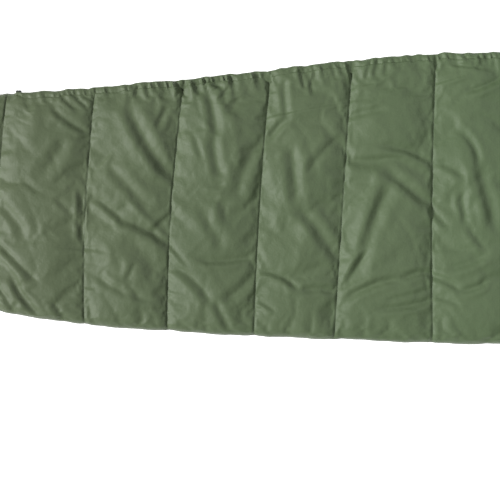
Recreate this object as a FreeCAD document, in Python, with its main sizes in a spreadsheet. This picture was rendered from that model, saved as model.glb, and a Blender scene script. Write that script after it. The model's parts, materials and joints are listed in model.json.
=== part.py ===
import FreeCAD, Part

import os

import Sketcher
from FreeCAD import Placement, Rotation, Vector

# Quilted sleeping sack lying flat. Frame: +X runs from the foot to the head, +Y points to the side
# with the zip, +Z is up, and the origin is on the ground under the middle of the sack. Millimetres.

document = FreeCAD.newDocument("bivy_sack")
document.UndoMode = 0

# ---------------------------------------------------------------- driving dimensions
DRIVING_SIZES = [
    ("total_length", 2200), ("foot_width", 500), ("chest_width", 750), ("hood_depth", 300),
    ("chest_length", 430), ("foot_corner_radius", 110), ("chin_setback", 30),
    ("skin", 1), ("layer_gap", 0.3), ("moving_gap", 1), ("lower_loft", 19.7), ("cavity_height", 15.4),
    ("valley_loft", 8), ("crown_rise", 11.4),
    ("seam_pitch", 224), ("first_channel", 137), ("stitch_width", 1.6), ("stitch_height", 1.2),
    ("thread_inset", 60),
    ("wall_width", 14), ("binding_thick", 2),
    ("zip_foot_margin", 410), ("zip_foot_recess", 28), ("zip_head_recess", 14), ("fold_end_offset", 250),
    ("tape_thick", 0.6), ("tape_width", 16), ("coil_height", 2.3), ("coil_width", 2.4),
    ("slider_web", 0.8), ("slider_clear", 0.4), ("slider_length", 15), ("slider_width", 10),
    ("slider_height", 11), ("stop_length", 4), ("stop_width", 4), ("slider_slot", 1.4),
    ("pull_pin_radius", 0.8), ("pull_thick", 1.6), ("pull_length", 34), ("pull_width", 6),
    ("pull_eye_radius", 2), ("pin_clear", 0.1), ("lug_thick", 1.5),
    ("flap_width", 18), ("flap_height", 9), ("snag_width", 10), ("snag_thick", 0.5),
    ("draft_tube_offset", 44), ("draft_tube_width", 20), ("draft_tube_drop", 11),
    ("hem_width", 16), ("hem_height", 8), ("hem_wall", 1.5), ("hem_setback", 12),
    ("eyelet_radius", 6), ("eyelet_bore", 3), ("eyelet_height", 1.6), ("eyelet_inset", 20),
    ("hood_seam_offset", 130),
    ("loop_length", 45), ("loop_width", 24), ("loop_band", 5), ("loop_thick", 1.6), ("loop_spread", 110),
]
sizes = document.addObject("Spreadsheet::Sheet", "sizes")
for row, (alias, value) in enumerate(DRIVING_SIZES, start=1):
    sizes.set(f"A{row}", alias)
    sizes.set(f"B{row}", str(value))
    sizes.setAlias(f"B{row}", alias)
document.recompute()

# ---------------------------------------------------------------- stations worked out from them
STATIONS = [
    # plan outline
    ("foot_x", "-sizes.total_length / 2"),
    ("mouth_x", "sizes.total_length / 2 - sizes.hood_depth"),
    ("opening_x", "plan.mouth_x - sizes.chin_setback"),
    ("bend_x", "plan.mouth_x - sizes.chest_length"),
    ("foot_half", "sizes.foot_width / 2"),
    ("chest_half", "sizes.chest_width / 2"),
    ("taper", "atan((plan.chest_half - plan.foot_half) / (plan.bend_x - plan.foot_x))"),
    ("corner_y", "plan.foot_half - sizes.foot_corner_radius * (1 - sin(plan.taper)) / cos(plan.taper)"),
    ("corner_end_x", "plan.foot_x + sizes.foot_corner_radius * (1 - sin(plan.taper))"),
    ("corner_end_y", "plan.corner_y + sizes.foot_corner_radius * cos(plan.taper)"),
    # heights of the layers
    ("lower_batt_z", "sizes.skin + sizes.layer_gap"),
    ("lower_liner_z", "plan.lower_batt_z + sizes.lower_loft + sizes.layer_gap"),
    ("cavity_z", "plan.lower_liner_z + sizes.skin"),
    ("upper_liner_z", "plan.cavity_z + sizes.cavity_height"),
    ("upper_batt_z", "plan.upper_liner_z + sizes.skin + sizes.layer_gap"),
    ("valley_z", "plan.upper_batt_z + sizes.valley_loft"),
    ("upper_shell_z", "plan.valley_z + sizes.layer_gap"),
    ("crown_z", "plan.upper_shell_z + sizes.crown_rise + sizes.skin"),
    ("wall_z", "plan.cavity_z + sizes.layer_gap"),
    ("wall_height", "sizes.cavity_height - 2 * sizes.layer_gap"),
    # zip line: straight, from the foot end of the chain to its head end
    ("zip_start_x", "plan.foot_x + sizes.zip_foot_margin"),
    ("zip_start_y", "plan.foot_half + sizes.zip_foot_margin * tan(plan.taper) - sizes.zip_foot_recess"),
    ("zip_end_y", "plan.chest_half - sizes.zip_head_recess"),
    ("zip_angle", "atan((plan.zip_end_y - plan.zip_start_y) / (plan.opening_x - plan.zip_start_x))"),
    ("zip_length", "(plan.opening_x - 5 - plan.zip_start_x) / cos(plan.zip_angle)"),
    ("chain_z", "plan.cavity_z + sizes.cavity_height / 2"),
    ("coil_gap", "sizes.slider_web / 2 + sizes.layer_gap"),
    ("lower_coil_z", "plan.chain_z - plan.coil_gap - sizes.coil_height"),
    ("upper_coil_z", "plan.chain_z + plan.coil_gap"),
    ("slider_rest", "plan.zip_length - sizes.stop_length - sizes.layer_gap - sizes.slider_length / 2"),
    ("cover_coil_end", "plan.slider_rest - sizes.slider_length / 2 - sizes.moving_gap"),
    # fold line of the opening cover, from the foot end of the zip to the far side of the mouth
    ("fold_start_x", "plan.zip_start_x + sizes.stop_length + 8"),
    ("fold_start_y", "plan.foot_half + (plan.fold_start_x - plan.foot_x) * tan(plan.taper)"),
    ("fold_end_y", "-sizes.fold_end_offset"),
    ("fold_angle", "atan((plan.fold_start_y - plan.fold_end_y) / (plan.opening_x - plan.fold_start_x))"),
    ("cover_start_x", "plan.fold_start_x + sizes.moving_gap * cos(plan.taper)"
                      " / sin(plan.fold_angle + plan.taper)"),
    ("cover_start_y", "plan.foot_half + (plan.cover_start_x - plan.foot_x) * tan(plan.taper)"),
    ("cover_end_y", "plan.fold_end_y + sizes.moving_gap / cos(plan.fold_angle)"),
    ("fold_on_zip", "(plan.fold_start_x - plan.zip_start_x) / cos(plan.zip_angle) + 3 * sizes.moving_gap"),
    ("cover_coil_start", "plan.fold_on_zip + (sizes.zip_foot_recess + sizes.tape_width)"
                         " / tan(plan.fold_angle + plan.zip_angle)"),
    ("draft_tube_start", "plan.fold_on_zip + (sizes.zip_foot_recess + sizes.draft_tube_offset"
                         " + sizes.draft_tube_width) / tan(plan.fold_angle + plan.zip_angle)"),
    # hood
    ("hood_x", "plan.mouth_x + sizes.moving_gap / 2"),
    ("hood_reach", "plan.foot_x * -1 - plan.hood_x"),
    ("hood_radius", "(plan.chest_half ^ 2 + plan.hood_reach ^ 2) / (2 * plan.hood_reach)"),
    ("hood_centre_x", "-plan.foot_x - plan.hood_radius"),
    ("hem_z", "plan.cavity_z + sizes.layer_gap"),
    ("hem_x", "plan.hood_x + sizes.hem_setback"),
]
plan = document.addObject("App::VarSet", "plan")
for station, expression in STATIONS:
    plan.addProperty("App::PropertyFloat", station)
    plan.setExpression(station, expression)
    document.recompute()


def number(expression):
    """The value in millimetres or degrees of an expression over the sizes and the stations."""
    return float(plan.evalExpression(str(expression)))


# ---------------------------------------------------------------- building blocks
ACROSS_ZIP = Rotation(Vector(1, 1, 1), 120)     # sketch x to +Y, sketch y to +Z, sketch normal to +X
FROM_SIDE = Rotation(Vector(1, 0, 0), 90)       # sketch x to +X, sketch y to +Z, sketch normal to -Y
exported = []


def outline(name, corners, arcs=None, turned=None):
    """A closed sketch through corners, each a pair of expressions, in anticlockwise order.

    arcs maps an edge's number to (radius expression, sense): sense 1 bulges outwards, -1 inwards.
    """
    arcs = arcs or {}
    sketch = document.addObject("Sketcher::SketchObject", name)
    if turned is not None:
        sketch.Placement = Placement(Vector(), turned)
    points = [Vector(number(x), number(y), 0) for x, y in corners]
    ends = []
    for index, start in enumerate(points):
        finish = points[(index + 1) % len(points)]
        if index not in arcs:
            ends.append((sketch.addGeometry(Part.LineSegment(start, finish), False), 1, 2))
            continue
        radius, sense = number(arcs[index][0]), arcs[index][1]
        first, last = (start, finish) if sense > 0 else (finish, start)
        chord = last - first
        inward = Vector(-chord.y, chord.x, 0).normalize()
        centre = (first + last) / 2 + inward * (radius ** 2 - chord.Length ** 2 / 4) ** 0.5
        circle = Part.Circle(centre, Vector(0, 0, 1), radius)
        arc = Part.ArcOfCircle(circle, circle.parameter(first), circle.parameter(last))
        geometry = sketch.addGeometry(arc, False)
        ends.append((geometry, 1, 2) if sense > 0 else (geometry, 2, 1))
    for index, (edge, begin, end) in enumerate(ends):
        following, following_begin, _ = ends[(index + 1) % len(ends)]
        sketch.addConstraint(Sketcher.Constraint("Coincident", edge, end, following, following_begin))
    for index, (edge, begin, end) in enumerate(ends):
        for kind, expression, value in (("DistanceX", corners[index][0], points[index].x),
                                        ("DistanceY", corners[index][1], points[index].y)):
            constraint = sketch.addConstraint(Sketcher.Constraint(kind, -1, 1, edge, begin, value))
            label = f"{kind}_{index}"
            sketch.renameConstraint(constraint, label)
            sketch.setExpression(f"Constraints.{label}", str(expression))
    for index, (radius, _) in arcs.items():
        constraint = sketch.addConstraint(
            Sketcher.Constraint("Radius", ends[index][0], number(radius)))
        sketch.renameConstraint(constraint, f"Radius_{index}")
        sketch.setExpression(f"Constraints.Radius_{index}", str(radius))
    return sketch


def extrusion(name, sketch, length, symmetric=False):
    """A solid swept along the sketch's normal by length, an expression."""
    solid = document.addObject("Part::Extrusion", name)
    solid.Base = sketch
    solid.DirMode = "Normal"
    solid.Solid = True
    solid.Symmetric = symmetric
    solid.setExpression("LengthFwd", length)
    return solid


def slab(name, corners, arcs, bottom, height):
    """A flat solid with a plan outline, between bottom and bottom plus height."""
    solid = extrusion(name, outline(f"{name}_plan", corners, arcs), height)
    solid.setExpression("Placement.Base.z", bottom)
    return solid


def block(name, low, length, width, height):
    """A Part::Box from its low corner and its three sizes, all expressions."""
    box = document.addObject("Part::Box", name)
    box.setExpression("Length", length)
    box.setExpression("Width", width)
    box.setExpression("Height", height)
    for axis, expression in zip("xyz", low):
        box.setExpression(f"Placement.Base.{axis}", expression)
    return box


def rod(name, centre, radius, height):
    """An upright Part::Cylinder from the middle of its base, its radius and its height."""
    cylinder = document.addObject("Part::Cylinder", name)
    cylinder.setExpression("Radius", radius)
    cylinder.setExpression("Height", height)
    for axis, expression in zip("xyz", centre):
        cylinder.setExpression(f"Placement.Base.{axis}", expression)
    return cylinder


def cut(name, base, tool):
    """base with tool taken away."""
    solid = document.addObject("Part::Cut", name)
    solid.Base = base
    solid.Tool = tool
    return solid


def common(name, base, tool):
    """What base and tool share."""
    solid = document.addObject("Part::Common", name)
    solid.Base = base
    solid.Tool = tool
    return solid


def fused(name, shapes):
    """One solid from shapes that touch."""
    solid = document.addObject("Part::MultiFuse", name)
    solid.Shapes = shapes
    solid.Refine = True
    return solid


def group(name, shapes):
    """Separate solids that share one node."""
    compound = document.addObject("Part::Compound", name)
    compound.Links = shapes
    return compound


def along_zip(solid, start="0", across="0"):
    """Place a solid that was drawn along +X on the zip line, start from its foot end."""
    solid.setExpression("Placement.Base.x", f"plan.zip_start_x + ({start}) * cos(plan.zip_angle)"
                                            f" - ({across}) * sin(plan.zip_angle)")
    solid.setExpression("Placement.Base.y", f"plan.zip_start_y + ({start}) * sin(plan.zip_angle)"
                                            f" + ({across}) * cos(plan.zip_angle)")
    solid.setExpression("Placement.Rotation.Angle", "plan.zip_angle * 1deg")
    return solid


def zip_section(name, corners, start, length, arcs=None):
    """A profile across the zip, drawn as (outward, up), swept along the zip line."""
    sketch = outline(f"{name}_profile", corners, arcs, ACROSS_ZIP)
    return along_zip(extrusion(name, sketch, length), start)


def keep(solid, label):
    """Name a finished sub-part and remember it for export."""
    solid.Label = label
    exported.append(solid)
    return solid


# ---------------------------------------------------------------- plan outlines
FOOT_ARC = "sizes.foot_corner_radius"


def sack_outline(head_x):
    """The whole sack from the foot to head_x, with its rounded foot corners."""
    corners = [
        ("plan.foot_x", "-plan.corner_y"),
        ("plan.corner_end_x", "-plan.corner_end_y"),
        ("plan.bend_x", "-plan.chest_half"),
        (head_x, "-plan.chest_half"),
        (head_x, "plan.chest_half"),
        ("plan.bend_x", "plan.chest_half"),
        ("plan.corner_end_x", "plan.corner_end_y"),
        ("plan.foot_x", "plan.corner_y"),
    ]
    return corners, {0: (FOOT_ARC, 1), 6: (FOOT_ARC, 1)}


def fixed_outline():
    """The part of the upper panel that stays down when the cover is folded back."""
    corners = [
        ("plan.foot_x", "-plan.corner_y"),
        ("plan.corner_end_x", "-plan.corner_end_y"),
        ("plan.bend_x", "-plan.chest_half"),
        ("plan.opening_x", "-plan.chest_half"),
        ("plan.opening_x", "plan.fold_end_y"),
        ("plan.fold_start_x", "plan.fold_start_y"),
        ("plan.corner_end_x", "plan.corner_end_y"),
        ("plan.foot_x", "plan.corner_y"),
    ]
    return corners, {0: (FOOT_ARC, 1), 6: (FOOT_ARC, 1)}


def cover_outline(edge):
    """The part of the upper panel that opens, stopping edge short of the sack's zip side."""
    corners = [
        (f"plan.cover_start_x + ({edge}) / tan(plan.fold_angle + plan.taper)",
         f"plan.cover_start_y - ({edge}) / cos(plan.taper)"
         f" + ({edge}) / tan(plan.fold_angle + plan.taper) * tan(plan.taper)"),
        ("plan.opening_x", "plan.cover_end_y"),
        ("plan.opening_x", f"plan.chest_half - ({edge})"),
        ("plan.bend_x", f"plan.chest_half - ({edge})"),
    ]
    return corners, {}


# ---------------------------------------------------------------- quilted layers
def seam_stations():
    """The seams' places as expressions: as many as fit between the foot and the mouth."""
    span = number("plan.opening_x - plan.foot_x - sizes.first_channel")
    count = int(span / number("sizes.seam_pitch")) + 1
    return [f"plan.foot_x + sizes.first_channel + {index} * sizes.seam_pitch"
            for index in range(count)]


def channel_edges():
    """Every station where the upper panel is pulled down: its ends and its seams."""
    return ["plan.foot_x", *seam_stations(), "plan.opening_x"]


def crown_radius(left, right):
    """The radius of a channel's crown between two stations, from its rise."""
    half = f"(({right}) - ({left})) / 2"
    rise = f"(sizes.crown_rise * (({right}) - ({left})) / sizes.seam_pitch)"
    return f"(({half}) ^ 2 + {rise} ^ 2) / (2 * {rise})"


def quilted(name, region, bottom, top, follows_crown):
    """A layer with channels on top, cut to region. The bottom is flat or follows the crown."""
    edges = channel_edges()
    spans = list(zip(edges[:-1], edges[1:]))
    corners, arcs = [], {}
    if follows_crown:
        for left, right in spans:
            arcs[len(corners)] = (crown_radius(left, right), -1)
            corners.append((left, bottom))
    else:
        corners.append((edges[0], bottom))
    corners.append((edges[-1], bottom))
    for left, right in reversed(spans):
        arcs[len(corners)] = (crown_radius(left, right), 1)
        corners.append((right, top))
    corners.append((edges[0], top))
    profile = outline(f"{name}_profile", corners, arcs, FROM_SIDE)
    layer = extrusion(f"{name}_layer", profile, "sizes.chest_width * 1.2", symmetric=True)
    region_solid = slab(f"{name}_region", *region, "0", "plan.crown_z * 2")
    return common(name, layer, region_solid)


def stitch_lines(name, region, bottom):
    """The thread of every seam that crosses a region, lying on the surface at bottom."""
    region_solid = slab(f"{name}_region", *region, "0", "plan.crown_z * 2")
    lines = []
    for index, station in enumerate(seam_stations()):
        strip = block(f"{name}_strip_{index}",
                      (f"{station} - sizes.stitch_width / 2", "-sizes.chest_width", bottom),
                      "sizes.stitch_width", "sizes.chest_width * 2", "sizes.stitch_height")
        line = common(f"{name}_{index}", strip, region_solid)
        document.recompute()
        if line.Shape.Solids:
            lines.append(line)
    return group(name, lines)


# ---------------------------------------------------------------- lower panel and side walls
def lower_panel():
    """Outer skin, filling and liner that the sleeper lies on."""
    for label, bottom, height in (("lower_shell", "0", "sizes.skin"),
                                  ("lower_batt", "plan.lower_batt_z", "sizes.lower_loft"),
                                  ("lower_liner", "plan.lower_liner_z", "sizes.skin")):
        keep(slab(label, *sack_outline("plan.mouth_x"), bottom, height), label)
    keep(stitch_lines("lower_quilting_thread", inset_outline("sizes.thread_inset"), "plan.wall_z"),
         "lower_quilting_thread")


def inset_outline(inset):
    """The sack's outline moved inwards, ending at the upper panel's mouth edge."""
    corners = [
        (f"plan.foot_x + ({inset})", f"-(plan.corner_y - ({inset}))"),
        (f"plan.foot_x + ({inset})", f"plan.corner_y - ({inset})"),
        ("plan.bend_x", f"plan.chest_half - ({inset})"),
        ("plan.opening_x", f"plan.chest_half - ({inset})"),
        ("plan.opening_x", f"-(plan.chest_half - ({inset}))"),
        ("plan.bend_x", f"-(plan.chest_half - ({inset}))"),
    ]
    return corners[::-1], {}


def side_walls():
    """The padded edge that joins the two panels at the foot and along both sides."""
    width = "sizes.wall_width"
    slope = "sizes.wall_width / cos(plan.taper)"
    foot = [
        ("plan.foot_x", "-plan.corner_y"),
        (f"plan.foot_x + {width}", "-plan.corner_y"),
        (f"plan.foot_x + {width}", "plan.corner_y"),
        ("plan.foot_x", "plan.corner_y"),
    ]
    keep(slab("foot_wall", foot, {}, "plan.wall_z", "plan.wall_height"), "foot_wall")
    far_side = [
        ("plan.foot_x", "-plan.corner_y - sizes.layer_gap"),
        ("plan.corner_end_x", "-plan.corner_end_y"),
        ("plan.bend_x", "-plan.chest_half"),
        ("plan.opening_x", "-plan.chest_half"),
        ("plan.opening_x", f"-plan.chest_half + {width}"),
        ("plan.bend_x", f"-plan.chest_half + {width}"),
        ("plan.corner_end_x", f"-plan.corner_end_y + {slope}"),
        (f"plan.foot_x + {width}", "-plan.corner_y - sizes.layer_gap"),
    ]
    keep(slab("far_side_wall", far_side, {0: (FOOT_ARC, 1)}, "plan.wall_z", "plan.wall_height"),
         "far_side_wall")
    wall_end = "(plan.zip_start_x + sizes.stop_length + sizes.slider_length / 2 - sizes.pull_length - 2)"
    near_side = [
        ("plan.foot_x", "plan.corner_y + sizes.layer_gap"),
        (f"plan.foot_x + {width}", "plan.corner_y + sizes.layer_gap"),
        ("plan.corner_end_x", f"plan.corner_end_y - {slope}"),
        (wall_end, f"plan.foot_half + ({wall_end} - plan.foot_x) * tan(plan.taper) - {slope}"),
        (wall_end, f"plan.foot_half + ({wall_end} - plan.foot_x) * tan(plan.taper)"),
        ("plan.corner_end_x", "plan.corner_end_y"),
    ]
    keep(slab("near_side_wall", near_side, {5: (FOOT_ARC, 1)}, "plan.wall_z", "plan.wall_height"),
         "near_side_wall")


# ---------------------------------------------------------------- upper panel
def upper_panel(side, region, shell_region):
    """Liner, filling, quilted skin and seam thread of one half of the upper panel."""
    keep(slab(f"upper_liner_{side}", *region, "plan.upper_liner_z", "sizes.skin"),
         f"upper_liner_{side}")
    keep(quilted(f"upper_batt_{side}", shell_region, "plan.upper_batt_z", "plan.valley_z", False),
         f"upper_batt_{side}")
    keep(quilted(f"upper_shell_{side}", shell_region, "plan.upper_shell_z",
                 "plan.upper_shell_z + sizes.skin", True), f"upper_shell_{side}")
    keep(stitch_lines(f"upper_quilting_thread_{side}", shell_region,
                      "plan.upper_shell_z + sizes.skin + sizes.layer_gap"),
         f"upper_quilting_thread_{side}")


def mouth_binding(side, low, high):
    """The tape that closes the upper panel's layers at the mouth."""
    strip = block(f"mouth_binding_{side}", ("plan.opening_x + sizes.layer_gap", low,
                                            "plan.upper_liner_z"),
                  "sizes.binding_thick", f"({high}) - ({low})", "plan.crown_z - plan.upper_liner_z")
    keep(strip, f"mouth_binding_{side}")


def storm_flap():
    """The padded strip of the cover's free edge, which hangs over the zip."""
    low = "sizes.flap_width"
    corner = "1 / tan(plan.fold_angle + plan.taper)"
    edge = [
        (f"plan.cover_start_x + {low} * {corner}",
         f"plan.cover_start_y - ({low} - sizes.layer_gap) / cos(plan.taper)"
         f" + {low} * {corner} * tan(plan.taper)"),
        ("plan.bend_x", f"plan.chest_half - {low} + sizes.layer_gap"),
        ("plan.opening_x", f"plan.chest_half - {low} + sizes.layer_gap"),
        ("plan.opening_x", "plan.chest_half"),
        ("plan.bend_x", "plan.chest_half"),
        ("plan.cover_start_x", "plan.cover_start_y"),
    ]
    keep(slab("zip_storm_flap", edge, {}, "plan.upper_batt_z", "sizes.flap_height"), "zip_storm_flap")


# ---------------------------------------------------------------- zip
def zip_tape(side, foot, tape_bottom, leg_bottom, leg_height, start, length):
    """A tape with a leg sewn flat under its panel and a leg that stands up to its coil."""
    half = "sizes.tape_thick / 2"
    flat = zip_section(f"{side}_tape_flat", [
        ("-sizes.tape_width", tape_bottom), (half, tape_bottom),
        (half, f"{tape_bottom} + sizes.tape_thick"),
        ("-sizes.tape_width", f"{tape_bottom} + sizes.tape_thick")], foot, f"plan.zip_length - ({foot})")
    standing = zip_section(f"{side}_tape_leg", [
        (f"-{half}", leg_bottom), (half, leg_bottom), (half, f"{leg_bottom} + {leg_height}"),
        (f"-{half}", f"{leg_bottom} + {leg_height}")], start, length)
    return keep(fused(f"{side}_zip_tape", [flat, standing]), f"{side}_zip_tape")


def zip_chain():
    """Both tapes, both coils and the stops at the chain's ends."""
    tape_low = "plan.cavity_z + sizes.layer_gap"
    tape_high = "plan.upper_liner_z - sizes.layer_gap - sizes.tape_thick"
    coil_half = "sizes.coil_width / 2"
    stop_half = "sizes.stop_width / 2"
    cover_length = "plan.cover_coil_end - plan.cover_coil_start"
    zip_tape("lower", "0", tape_low, f"{tape_low} + sizes.tape_thick",
             f"(plan.lower_coil_z - ({tape_low}) - sizes.tape_thick)", "0",
             "plan.zip_length - sizes.stop_length")
    zip_tape("upper", "plan.cover_coil_start", tape_high, "plan.upper_coil_z + sizes.coil_height",
             f"({tape_high} - plan.upper_coil_z - sizes.coil_height)", "plan.cover_coil_start",
             cover_length)
    for side, bottom, start, length in (
            ("lower", "plan.lower_coil_z", "sizes.stop_length", "plan.zip_length - 2 * sizes.stop_length"),
            ("upper", "plan.upper_coil_z", "plan.cover_coil_start", cover_length)):
        coil = zip_section(f"{side}_zip_coil", [
            (f"-{coil_half}", bottom), (coil_half, bottom), (coil_half, f"{bottom} + sizes.coil_height"),
            (f"-{coil_half}", f"{bottom} + sizes.coil_height")], start, length)
        keep(coil, f"{side}_zip_coil")
    stops = (
        ("zip_bottom_stop", "plan.lower_coil_z", "2 * (sizes.coil_height + plan.coil_gap)", "0"),
        ("zip_top_stop_lower", "plan.lower_coil_z", "sizes.coil_height",
         "plan.zip_length - sizes.stop_length"),
        ("zip_top_stop_upper", "plan.upper_coil_z", f"{tape_high} - plan.upper_coil_z",
         "plan.zip_length - sizes.stop_length"),
    )
    for label, bottom, height, start in stops:
        stop = zip_section(label, [
            (f"-{stop_half}", bottom), (stop_half, bottom), (stop_half, f"{bottom} + {height}"),
            (f"-{stop_half}", f"{bottom} + {height}")], start, "sizes.stop_length")
        keep(stop, label)


def slider():
    """The slider: two plates with guide flanges, joined by a web that runs between the coils."""
    plate, slot = "sizes.slider_width / 2", "sizes.slider_slot / 2"
    inner = "(sizes.coil_width / 2 + sizes.slider_clear)"
    top, bottom = "(plan.chain_z + sizes.slider_height / 2)", "(plan.chain_z - sizes.slider_height / 2)"
    web = "sizes.slider_web / 2"
    flange = "(plan.coil_gap + sizes.coil_height + sizes.slider_clear)"
    right = [
        (slot, bottom), (plate, bottom), (plate, top), (slot, top),
        (slot, f"plan.chain_z + {flange}"), (inner, f"plan.chain_z + {flange}"),
        (inner, f"plan.chain_z + {web}"),
    ]
    left = [(f"-{x}", z) for x, z in reversed(right)]
    lower_right = [(inner, f"plan.chain_z - {web}"), (inner, f"plan.chain_z - {flange}"),
                   (slot, f"plan.chain_z - {flange}")]
    lower_left = [(f"-{x}", z) for x, z in reversed(lower_right)]
    # anticlockwise: right plate, left plate, then back along the underside of the web
    body = zip_section("slider_section", right + left + lower_left + lower_right,
                       "plan.slider_rest - sizes.slider_length / 2", "sizes.slider_length")
    pieces = [body]
    for side, sign in (("outer", ""), ("inner", "-")):
        pin_at = f"{sign}(sizes.slider_width / 2 + sizes.pull_eye_radius + sizes.slider_clear)"
        reach = "sizes.pull_eye_radius * 2"
        low = "sizes.slider_width / 2" if side == "outer" else f"-sizes.slider_width / 2 - {reach}"
        for end, height in (("low", bottom), ("high", f"{top} - sizes.lug_thick")):
            lug = block(f"slider_lug_{side}_{end}", ("0", "0", height), "sizes.pull_eye_radius * 2",
                        reach, "sizes.lug_thick")
            pieces.append(along_zip(lug, "plan.slider_rest - sizes.pull_eye_radius", low))
        pin = rod(f"slider_pin_{side}", ("0", "0", bottom), "sizes.pull_pin_radius",
                  "sizes.slider_height")
        pieces.append(along_zip(pin, "plan.slider_rest", pin_at))
    keep(fused("slider_body", pieces), "slider_body")


def pull(side, sign):
    """A flat pull with an eye that turns on the slider's pin."""
    pin_at = f"{sign}(sizes.slider_width / 2 + sizes.pull_eye_radius + sizes.slider_clear)"
    bottom = "plan.chain_z - sizes.pull_width / 2"
    eye = rod(f"{side}_pull_eye", ("0", "0", bottom), "sizes.pull_eye_radius", "sizes.pull_width")
    tongue = block(f"{side}_pull_tongue", ("0", "0", bottom), "sizes.pull_length",
                   "sizes.pull_thick", "sizes.pull_width")
    bore = rod(f"{side}_pull_bore", ("0", "0", f"{bottom} - 1"),
               "sizes.pull_pin_radius + sizes.pin_clear", "sizes.pull_width + 2")
    along_zip(eye, "plan.slider_rest", pin_at)
    along_zip(tongue, "plan.slider_rest - sizes.pull_length", f"{pin_at} - sizes.pull_thick / 2")
    along_zip(bore, "plan.slider_rest", pin_at)
    keep(cut(f"{side}_pull", fused(f"{side}_pull_blank", [eye, tongue]), bore), f"{side}_pull")


def zip_trim():
    """The stiff tape that keeps the slider off the cover's lining, and the draft tube behind it."""
    high = "plan.upper_liner_z - sizes.layer_gap - sizes.tape_thick"
    snag = zip_section("anti_snag_tape", [
        ("-sizes.tape_width", f"{high} - sizes.snag_thick"),
        ("-sizes.tape_width + sizes.snag_width", f"{high} - sizes.snag_thick"),
        ("-sizes.tape_width + sizes.snag_width", high),
        ("-sizes.tape_width", high)], "plan.cover_coil_start", "plan.cover_coil_end - plan.cover_coil_start")
    keep(snag, "anti_snag_tape")
    outer, width = "-sizes.draft_tube_offset", "sizes.draft_tube_width"
    top = "plan.upper_liner_z - sizes.layer_gap"
    # straight sides carry the drop, and the underside is an arc that rises a quarter of the width
    side_low = f"{top} - sizes.draft_tube_drop + {width} / 4"
    tube = zip_section("draft_tube", [
        (f"{outer} - {width}", top), (f"{outer} - {width}", side_low),
        (outer, side_low), (outer, top)],
        "plan.draft_tube_start", "plan.cover_coil_end - plan.draft_tube_start",
        {1: (f"({width} ^ 2 / 4 + ({width} / 4) ^ 2) / ({width} / 2)", 1)})
    keep(tube, "draft_tube")


# ---------------------------------------------------------------- hood
def hood_outline(inset="0"):
    """The half-moon hood, from its fold to its rim."""
    radius = f"(plan.hood_radius - ({inset}))"
    rim_y = f"sqrt({radius} ^ 2 - (plan.hood_x - plan.hood_centre_x) ^ 2)"
    return [("plan.hood_x", f"-{rim_y}"), ("plan.hood_x", rim_y)], {0: (radius, 1)}


def hem_band(name, outer, inner, setback, bottom, height):
    """A strip that follows the hood's rim between two distances from it."""
    radii = [f"(plan.hood_radius - ({outer}))", f"(plan.hood_radius - ({inner}))"]
    start = f"(plan.hem_x + ({setback}))"
    rims = [f"sqrt({radius} ^ 2 - ({start} - plan.hood_centre_x) ^ 2)" for radius in radii]
    corners = [(start, f"-{rims[0]}"), (start, rims[0]), (start, rims[1]), (start, f"-{rims[1]}")]
    return slab(name, corners, {0: (radii[0], 1), 2: (radii[1], -1)}, bottom, height)


def hood():
    """The hood's skin, filling and lining, its seam, and the hem with its two eyelets."""
    for label, bottom, height in (("hood_shell", "0", "sizes.skin"),
                                  ("hood_batt", "plan.lower_batt_z", "sizes.lower_loft"),
                                  ("hood_liner", "plan.lower_liner_z", "sizes.skin")):
        keep(slab(label, *hood_outline(), bottom, height), label)
    blank = hem_band("hem_blank", "0", "sizes.hem_width", "0", "plan.hem_z", "sizes.hem_height")
    tunnel = hem_band("hem_tunnel", "sizes.hem_wall", "sizes.hem_width - sizes.hem_wall",
                      "sizes.hem_wall", "plan.hem_z + sizes.hem_wall",
                      "sizes.hem_height - 2 * sizes.hem_wall")
    middle = "(plan.hood_radius - sizes.hem_width / 2)"
    eyelet_x = "(plan.hem_x + sizes.eyelet_inset)"
    eyelet_y = f"sqrt({middle} ^ 2 - ({eyelet_x} - plan.hood_centre_x) ^ 2)"
    top = "plan.hem_z + sizes.hem_height"
    holes, rings = [], []
    for side, sign in (("left", "-"), ("right", "")):
        centre = (eyelet_x, f"{sign}{eyelet_y}")
        holes.append(rod(f"hem_hole_{side}", (*centre, f"{top} - sizes.hem_wall * 1.5"),
                         "sizes.eyelet_bore", "sizes.hem_wall * 2"))
        washer = rod(f"eyelet_washer_{side}", (*centre, top), "sizes.eyelet_radius",
                     "sizes.eyelet_height")
        bore = rod(f"eyelet_bore_{side}", (*centre, f"{top} - 1"), "sizes.eyelet_bore",
                   "sizes.eyelet_height + 2")
        rings.append(cut(f"eyelet_{side}", washer, bore))
    hollow = cut("hem_hollow", blank, tunnel)
    keep(cut("hood_hem_channel", hollow, group("hem_holes", holes)), "hood_hem_channel")
    keep(group("hood_eyelets", rings), "hood_eyelets")
    thread = block("hood_thread_strip", ("plan.hood_x + sizes.hood_seam_offset", "-plan.chest_half",
                                         "plan.hem_z"),
                   "sizes.stitch_width", "sizes.chest_width", "sizes.stitch_height")
    region = slab("hood_thread_region", *hood_outline("sizes.hem_width + 4"), "0", "plan.crown_z")
    keep(common("hood_quilting_thread", thread, region), "hood_quilting_thread")


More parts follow.
